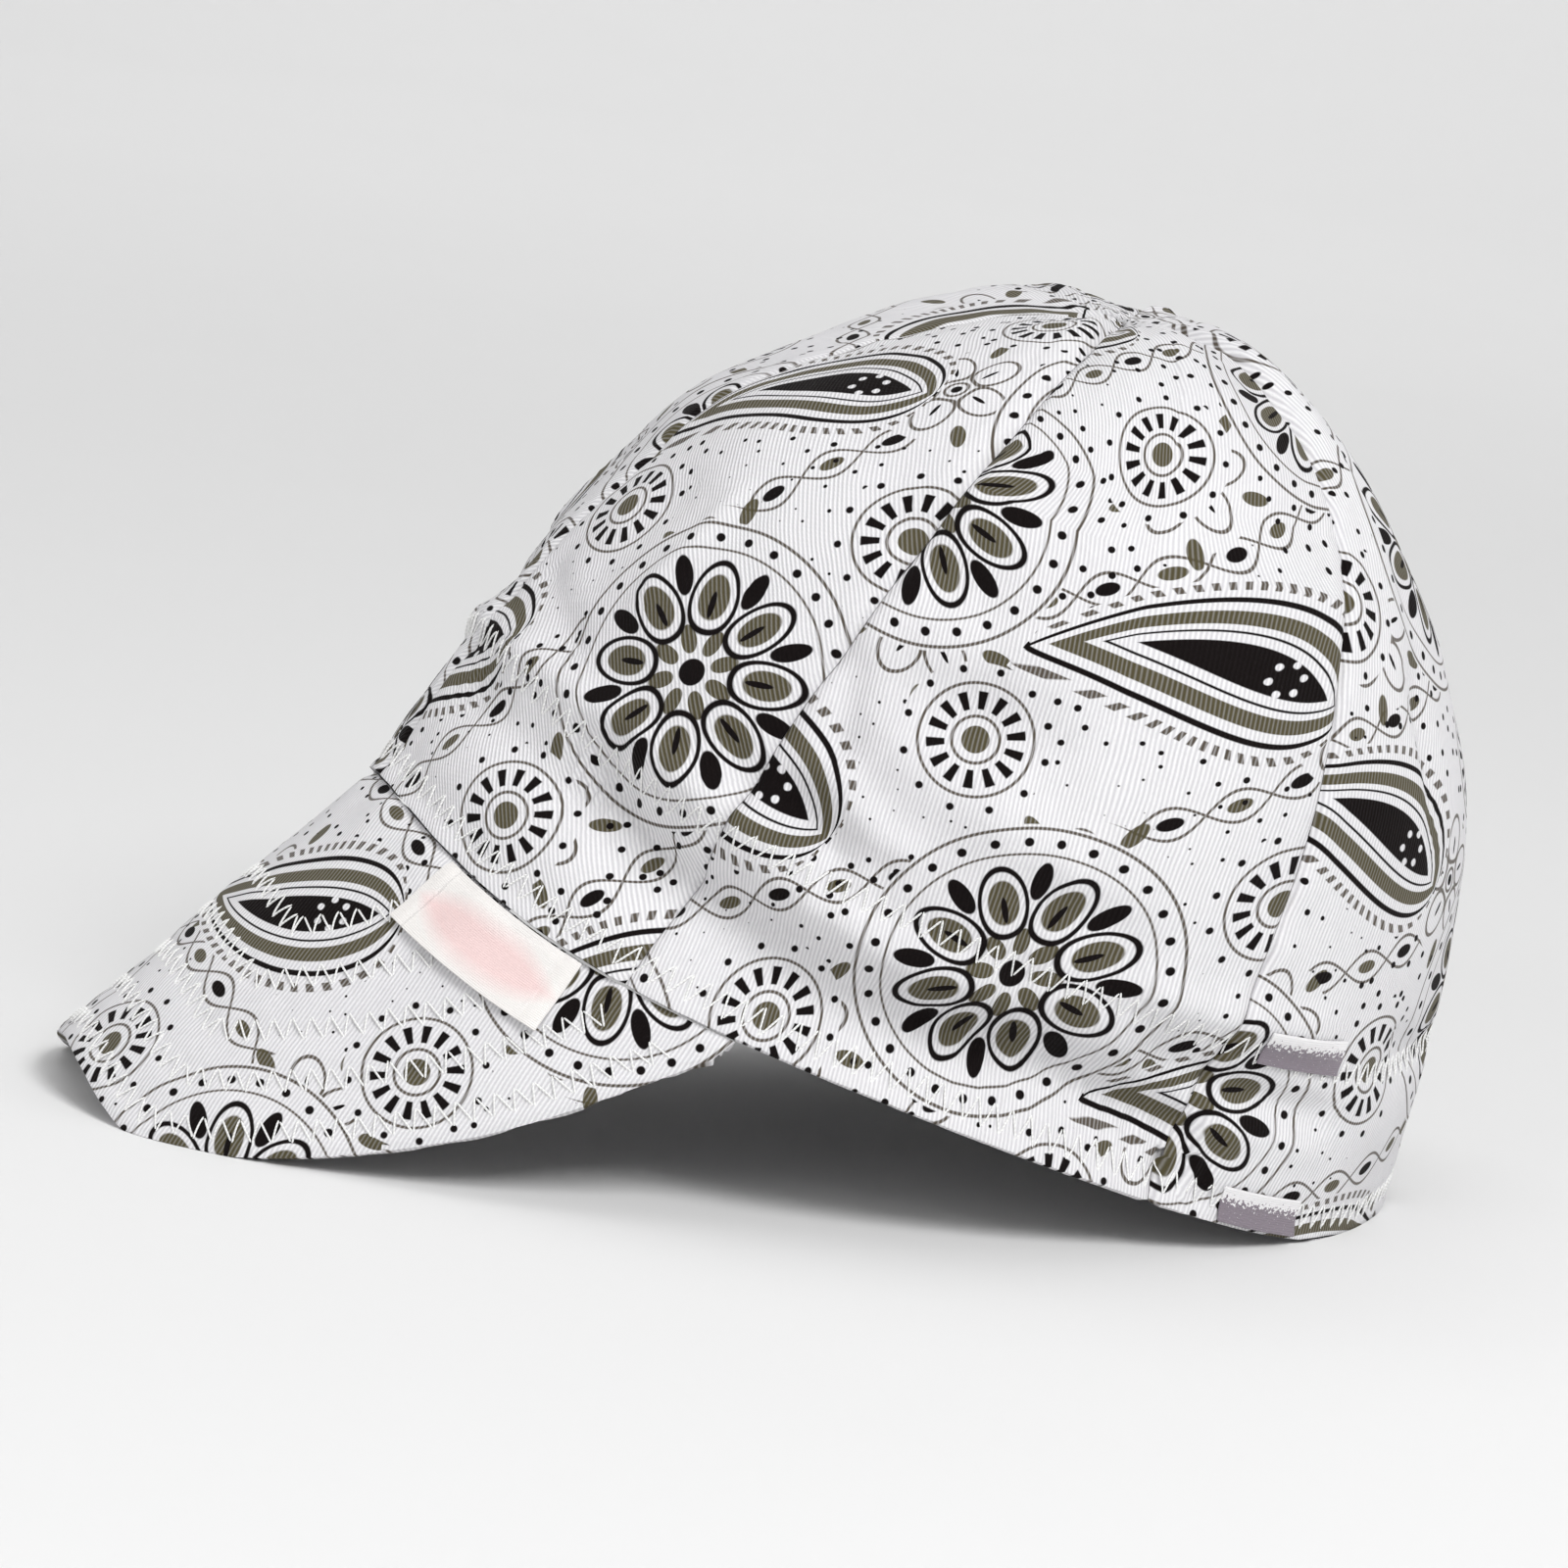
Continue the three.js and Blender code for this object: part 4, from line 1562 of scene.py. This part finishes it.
@dataclass
class Sweatband:
    """The plain band inside the hem."""

    shape: CrownShape
    wardrobe: Wardrobe
    inset: float = 2.0
    height: float = 33.0
    out: float = -2.45
    ripple: float = 0.35
    weave_per_degree: float = 1.65
    wall: float = 0.9

    def build(self) -> None:
        """Builds the band as one ring."""

        def place(u: np.ndarray, v: np.ndarray) -> tuple[np.ndarray, np.ndarray]:
            """Lays the band inside the crown, clear of its hollows.

            Args:
                u: Shares across the piece.
                v: Shares up the piece.

            Returns:
                Points in metres and cloth coordinates, one row each.
            """
            angle = 360 * u - 180
            along = self.shape.along_at(angle, self.inset + v * self.height)
            ripple = self.ripple * soft_noise(angle / 5.0, v * 2, 1.9) * np.sin(np.pi * v)
            ripple[np.abs(angle) > 179.9] = 0
            inward = np.maximum(self.shape.hollows(angle, along), 0)
            out = self.out + ripple - inward
            points = self.shape.set_down(self.shape.point(angle, along, out))
            return points, np.stack([angle * self.weave_per_degree, v * self.height], -1)

        piece = cloth_grid("sweatband_cloth", 200, 12, place)
        select_only(piece)
        bpy.ops.object.mode_set(mode="EDIT")
        bpy.ops.mesh.select_all(action="SELECT")
        bpy.ops.mesh.remove_doubles(threshold=0.02 * MM)
        bpy.ops.object.mode_set(mode="OBJECT")
        give_wall(piece, self.wall, 0.25)
        finish_piece(piece, [self.wardrobe.plain], "sweatband")


@dataclass
class Peak:
    """The stiffened, stitched peak."""

    shape: PeakShape
    wardrobe: Wardrobe
    wall: float = 2.4
    rounding: float = 1.05
    columns: int = 168
    rows: int = 80
    cut: Cut = Cut(12.0, 30.0, -18.0)

    def build(self) -> None:
        """Builds the peak as one padded wall with a turned edge."""
        span = self.shape.span

        def place(u: np.ndarray, v: np.ndarray) -> tuple[np.ndarray, np.ndarray]:
            """Lays the peak out from its seam.

            Args:
                u: Shares across the piece.
                v: Shares up the piece.

            Returns:
                Points in metres and cloth coordinates, one row each.
            """
            angle = span * (1 - 2 * u)
            distance = v * self.shape.reach(angle)
            points = self.shape.crown.set_down(self.shape.cloth_point(angle, distance))
            return points, self.cut.lay(*self.shape.flat(angle, distance))

        piece = cloth_grid("peak_cloth", self.columns, self.rows, place)
        give_wall(piece, self.wall, self.rounding)
        finish_piece(piece, [self.wardrobe.printed], "peak")


@dataclass
class PeakLabel:
    """The bare satin label, its top edge in the peak's seam."""

    shape: PeakShape
    wardrobe: Wardrobe
    length: float = 36.0
    width: float = 15.5
    setback: float = 33.0
    inset: float = 0.4
    wall: float = 0.45
    lift: float = 0.55
    curl: float = 0.9
    ripple: float = 0.5
    belly: float = 0.3
    fold_rise: float = 0.35
    fold_place: float = 2.2

    def build(self) -> None:
        """Builds the label with its folded ends and lifted lower edge."""
        crown = self.shape.crown
        end = self.back_from(self.shape.span, self.setback)
        start = self.back_from(end, self.length)

        def place(u: np.ndarray, v: np.ndarray) -> tuple[np.ndarray, np.ndarray]:
            """Lays the label on the peak, square to the seam.

            Args:
                u: Shares across the piece.
                v: Shares up the piece.

            Returns:
                Points in metres and cloth coordinates, one row each.
            """
            angle = end + (start - end) * u
            down = self.inset + v * self.width
            tangent = self.shape.root(angle + 0.5) - self.shape.root(angle - 0.5)
            step = np.linalg.norm(tangent, axis=-1)
            slant = (tangent / step[:, None]) @ self.shape.way
            distance = down / np.sqrt(1 - slant**2)
            at = angle - distance * slant / step
            lift = self.lift + self.curl * v**2 + self.ripple * soft_noise(u * 3.2, v * 1.4, 15.2) * v
            for from_end in (u, 1 - u):
                lift += self.fold_rise * bump(from_end * self.length - self.fold_place, 1.3)
            lift += self.belly * np.sin(np.pi * u)
            point = self.shape.point(at, distance) + self.shape.normal(at) * (
                np.maximum(self.shape.relief(at, distance), -0.3) + lift
            )[..., None]
            return crown.set_down(point), np.stack([(1 - u) * self.length, (1 - v) * self.width], -1)

        piece = cloth_grid("peak_label_satin", 60, 28, place)
        give_wall(piece, self.wall, 0.16)
        finish_piece(piece, [self.wardrobe.label], "peak_label")

    def back_from(self, angle: float, distance: float) -> float:
        """The angle that lies a distance nearer the front along the peak's seam."""
        return angle - distance / self.shape.crown.per_degree(np.array([angle]), np.zeros(1))[0]


@dataclass
class SatinTab:
    """A short satin strip sewn on the back of the crown."""

    shape: CrownShape
    wardrobe: Wardrobe
    name: str
    rise: float
    start: float = 118.3
    length: float = 23.0
    width: float = 6.8
    lift: float = 0.75
    wall: float = 0.4

    def build(self) -> None:
        """Builds the strip on the folded cloth."""

        def place(u: np.ndarray, v: np.ndarray) -> tuple[np.ndarray, np.ndarray]:
            """Lays the strip on the crown's cloth.

            Args:
                u: Shares across the piece.
                v: Shares up the piece.

            Returns:
                Points in metres and cloth coordinates, one row each.
            """
            guess = np.full_like(u, self.start)
            along = self.shape.along_at(guess, self.rise + v * self.width)
            angle = self.start + u * self.length / self.shape.per_degree(guess, along)
            points = self.shape.set_down(self.shape.cloth_point(angle, along, self.lift))
            return points, np.stack([u * self.length, v * self.width], -1)

        piece = cloth_grid(self.name + "_ribbon", 36, 12, place)
        give_wall(piece, self.wall, 0.14)
        finish_piece(piece, [self.wardrobe.tab], self.name)


@dataclass
class Stitching:
    """Rows of white zigzag stitches, each leg a short bowed thread."""

    crown: CrownShape
    peak: PeakShape
    wardrobe: Wardrobe
    pitch: float = 3.8
    tall: float = 5.4
    radius: float = 0.21
    steepness: float = 0.55
    unsteady: float = 0.25
    sunk_ends: float = 0.28
    bow: float = 0.62
    crossed: float = 0.13
    hem_height: float = 4.6
    sides: int = 6
    rings: int = 6

    def build(self) -> None:
        """Builds the two rows round the crown and the rows of the peak."""
        self.crown_row("upper_stitch_row", self.crown.row_height, 0.1)
        self.crown_row("hem_stitch_row", self.hem_height, 0.6)
        ends = []
        for inset in self.peak.row_insets:
            ends.extend(self.zigzag(self.peak.stitched_row(inset), self.tall * 0.92))
        self.sew("peak_stitch_rows", ends, self.on_peak)

    def zigzag(self, line: np.ndarray, tall: float) -> list[tuple[np.ndarray, np.ndarray]]:
        """Lays zigzag legs along a line of the flat cloth.

        Args:
            line: Points of the row's middle, one row each.
            tall: How far the zigzag reaches across the line.

        Returns:
            The two ends of each leg.
        """
        steps = np.linalg.norm(np.diff(line, axis=0), axis=-1)
        run = np.concatenate([[0], np.cumsum(steps)])
        at = np.arange(self.pitch / 2, run[-1], self.pitch / 2)
        at[1::2] -= self.steepness * self.pitch / 2
        middle = np.stack([np.interp(at, run, line[:, i]) for i in range(2)], -1)
        step = np.gradient(middle, axis=0)
        step /= np.linalg.norm(step, axis=-1, keepdims=True)
        aside = np.stack([-step[:, 1], step[:, 0]], -1)
        swing = np.where(np.arange(len(at)) % 2 == 0, 0.5, -0.5)[:, None] * tall
        unsteady = self.unsteady * soft_noise(at * 0.9, at * 0, 21.0)[:, None]
        ends = middle + aside * (swing + unsteady) + step * unsteady * 0.6
        return list(zip(ends[:-1], ends[1:]))

    def crown_row(self, name: str, height: float, start: float) -> None:
        """Sews one row round the crown.

        Args:
            name: The piece's name.
            height: How far above the hem its middle runs.
            start: Where the row's first leg lies, in degrees.
        """
        angle = np.linspace(-180, 180, 361) + start
        along = self.crown.along_at(angle, height)
        run = np.concatenate(
            [[0], np.cumsum(np.linalg.norm(np.diff(self.crown.plain(angle, along), axis=0), axis=-1))]
        )
        line = np.stack([run, np.full_like(run, height)], -1)

        def on_crown(flat: np.ndarray, out: np.ndarray) -> np.ndarray:
            """Puts places of the row's flat strip on the crown's face.

            Args:
                flat: Places along the row and up from the hem, in millimetres.
                out: How far above the cloth's face.

            Returns:
                Points in metres.
            """
            turn = np.interp(flat[:, 0], run, angle)
            turn = (turn + 180) % 360 - 180
            share = self.crown.along_at(turn, height) * flat[:, 1] / height
            return self.crown.set_down(self.crown.cloth_point(turn, share, out))

        self.sew(name, self.zigzag(line, self.tall), on_crown)

    def on_peak(self, flat: np.ndarray, out: np.ndarray) -> np.ndarray:
        """Puts places of the peak's flat cut on its stitched face.

        Args:
            flat: Places of the flat cut.
            out: How far above the cloth's face.

        Returns:
            Points in metres.
        """
        angle, distance = self.peak.from_flat(flat[:, 0], flat[:, 1])
        return self.crown.set_down(self.peak.cloth_point(angle, distance, out))

    def sew(
        self,
        name: str,
        ends: list[tuple[np.ndarray, np.ndarray]],
        lay: Callable[[np.ndarray, np.ndarray], np.ndarray],
    ) -> None:
        """Makes all the legs of a piece as one mesh of short bowed tubes.

        Args:
            name: The piece's name.
            ends: The two ends of each leg on the flat cloth.
            lay: Puts flat places and heights on the cloth's face, in metres.
        """
        share = np.linspace(0, 1, self.rings)
        bow = -self.sunk_ends + self.bow * np.sin(np.pi * share) ** 0.6
        starts = np.array([a for a, _ in ends])
        stops = np.array([b for _, b in ends])
        flat = starts[:, None] + (stops - starts)[:, None] * share[None, :, None]
        sunk = np.where(np.arange(len(ends)) % 2 == 0, 0.0, self.crossed)
        out = bow[None] - sunk[:, None]
        spine = lay(flat.reshape(-1, 2), out.reshape(-1)).reshape(len(ends), self.rings, 3)
        above = lay(flat.reshape(-1, 2), out.reshape(-1) + 1.0).reshape(len(ends), self.rings, 3)
        up = above - spine
        up /= np.linalg.norm(up, axis=-1, keepdims=True)
        run = np.gradient(spine, axis=1)
        run /= np.linalg.norm(run, axis=-1, keepdims=True)
        aside = np.cross(run, up)
        aside /= np.linalg.norm(aside, axis=-1, keepdims=True)
        turn = np.arange(self.sides) * 2 * math.pi / self.sides
        ring = (
            aside[:, :, None] * np.cos(turn)[None, None, :, None]
            + up[:, :, None] * np.sin(turn)[None, None, :, None]
        )
        verts = (spine[:, :, None] + ring * self.radius * MM).reshape(-1, 3)
        leg, level, around = np.meshgrid(
            np.arange(len(ends)), np.arange(self.rings - 1), np.arange(self.sides), indexing="ij"
        )
        base = (leg * self.rings + level) * self.sides
        beside = (around + 1) % self.sides
        faces = np.stack(
            [base + around, base + beside, base + self.sides + beside, base + self.sides + around], -1
        ).reshape(-1, 4)
        mesh = bpy.data.meshes.new(name)
        mesh.from_pydata(verts.tolist(), [], faces.tolist())
        lengths = np.linalg.norm(stops - starts, axis=-1)
        cloth = np.stack(
            [
                np.broadcast_to((share[None, :] * lengths[:, None])[:, :, None], ring.shape[:3]).ravel(),
                np.broadcast_to(turn[None, None] / (2 * math.pi), ring.shape[:3]).ravel(),
            ],
            -1,
        )
        write_cloth(mesh, cloth)
        piece = bpy.data.objects.new(name, mesh)
        bpy.context.collection.objects.link(piece)
        select_only(piece)
        bpy.ops.object.shade_smooth()
        finish_piece(piece, [self.wardrobe.thread])


@dataclass
class Studio:
    """The pale floor, the soft lights and the camera at the photograph's angle."""

    azimuth: float = 74.024
    elevation: float = 10.25
    roll: float = -7.587
    distance: float = 1.368
    aim: tuple = (0.0, -0.000594, 0.069768)
    lens: float = 161.635
    floor_radius: float = 4.0
    wall_height: float = 3.0

    def build(self) -> None:
        """Builds the floor, the lights and the camera."""
        self.floor()
        self.lights()
        self.camera()

    def floor(self) -> None:
        """A round floor whose rim curves up into a wall, open at the top."""
        deselect_all()
        bpy.ops.mesh.primitive_circle_add(vertices=96, radius=self.floor_radius, fill_type="NGON")
        floor = bpy.context.object
        floor.name = "studio_floor"
        bpy.ops.object.mode_set(mode="EDIT")
        bpy.ops.mesh.select_all(action="DESELECT")
        bpy.ops.mesh.select_mode(type="EDGE")
        bpy.ops.mesh.select_all(action="SELECT")
        bpy.ops.mesh.extrude_edges_move(TRANSFORM_OT_translate={"value": (0, 0, self.wall_height)})
        bpy.ops.object.mode_set(mode="OBJECT")
        apply_modifier(
            floor,
            "BEVEL",
            width=self.floor_radius * 0.45,
            segments=14,
            limit_method="ANGLE",
            angle_limit=math.radians(50),
        )
        select_only(floor)
        bpy.ops.object.shade_smooth()
        floor.data.materials.append(FloorFinish().build())

    def area_light(
        self, name: str, place: tuple, size: float, power: float, toward: tuple = (0.0, 0.0, 0.08)
    ) -> None:
        """Adds a soft square light.

        Args:
            name: The light's name.
            place: Where it stands, in metres.
            size: The side of its square, in metres.
            power: Its power in watts.
            toward: The place that it faces, in metres.
        """
        light = bpy.data.lights.new(name, "AREA")
        light.shape = "SQUARE"
        light.size = size
        light.energy = power
        lamp = bpy.data.objects.new(name, light)
        bpy.context.collection.objects.link(lamp)
        lamp.location = place
        lamp.rotation_euler = (Vector(toward) - Vector(place)).to_track_quat("-Z", "Y").to_euler()

    def lights(self) -> None:
        """Sets a key light, a fill, a top light and a dim surround, with lights for the far floor."""
        self.area_light("key_light", (1.32, 0.46, 1.64), 0.9, 31.0)
        self.area_light("fill_light", (1.5, -1.7, 1.0), 1.2, 7.0)
        self.area_light("top_light", (-0.6, -0.3, 2.1), 1.4, 8.5)
        for quarter in range(4):
            turn = math.radians(self.azimuth - 90 + 90 * quarter)
            across, along = -math.cos(turn), -math.sin(turn)
            place = (2.3 * across, 2.3 * along, 1.7)
            toward = (3.2 * across, 3.2 * along, 0.0)
            self.area_light(f"backdrop_light_{quarter}", place, 2.0, 18.0, toward)
        world = bpy.data.worlds.new("studio")
        world.use_nodes = True
        world.node_tree.nodes["Background"].inputs["Color"].default_value = (1, 1, 1, 1)
        world.node_tree.nodes["Background"].inputs["Strength"].default_value = 0.24
        bpy.context.scene.world = world
        bpy.context.scene.view_settings.view_transform = "Standard"

    def camera(self) -> None:
        """Places the camera where the photograph was taken from, relative to the cap."""
        turn, tilt, roll = (math.radians(a) for a in (self.azimuth, self.elevation, self.roll))
        back = Vector((math.sin(turn) * math.cos(tilt), -math.cos(turn) * math.cos(tilt), math.sin(tilt)))
        right = Vector((math.cos(turn), math.sin(turn), 0.0))
        up = back.cross(right)
        tipped_right = right * math.cos(roll) - up * math.sin(roll)
        tipped_up = up * math.cos(roll) + right * math.sin(roll)
        lens = bpy.data.cameras.new("photo_camera")
        lens.lens = self.lens
        camera = bpy.data.objects.new("photo_camera", lens)
        bpy.context.collection.objects.link(camera)
        turned = Matrix((tipped_right, tipped_up, back)).transposed().to_4x4()
        camera.matrix_world = Matrix.Translation(Vector(self.aim) + back * self.distance) @ turned
        bpy.context.scene.camera = camera


def main() -> None:
    """Builds the studio and then the cap, piece by piece."""
    logging.basicConfig(level=logging.INFO, format="%(name)s: %(message)s")
    crown_shape = CrownShape()
    peak_shape = PeakShape(crown_shape)
    Studio().build()
    wardrobe = Wardrobe()
    Crown(crown_shape, wardrobe).build()
    Sweatband(crown_shape, wardrobe).build()
    Peak(peak_shape, wardrobe).build()
    PeakLabel(peak_shape, wardrobe).build()
    SatinTab(crown_shape, wardrobe, "satin_tab_lower", 0.6).build()
    SatinTab(crown_shape, wardrobe, "satin_tab_upper", 31.6).build()
    Stitching(crown_shape, peak_shape, wardrobe).build()


if __name__ == "__main__":
    main()
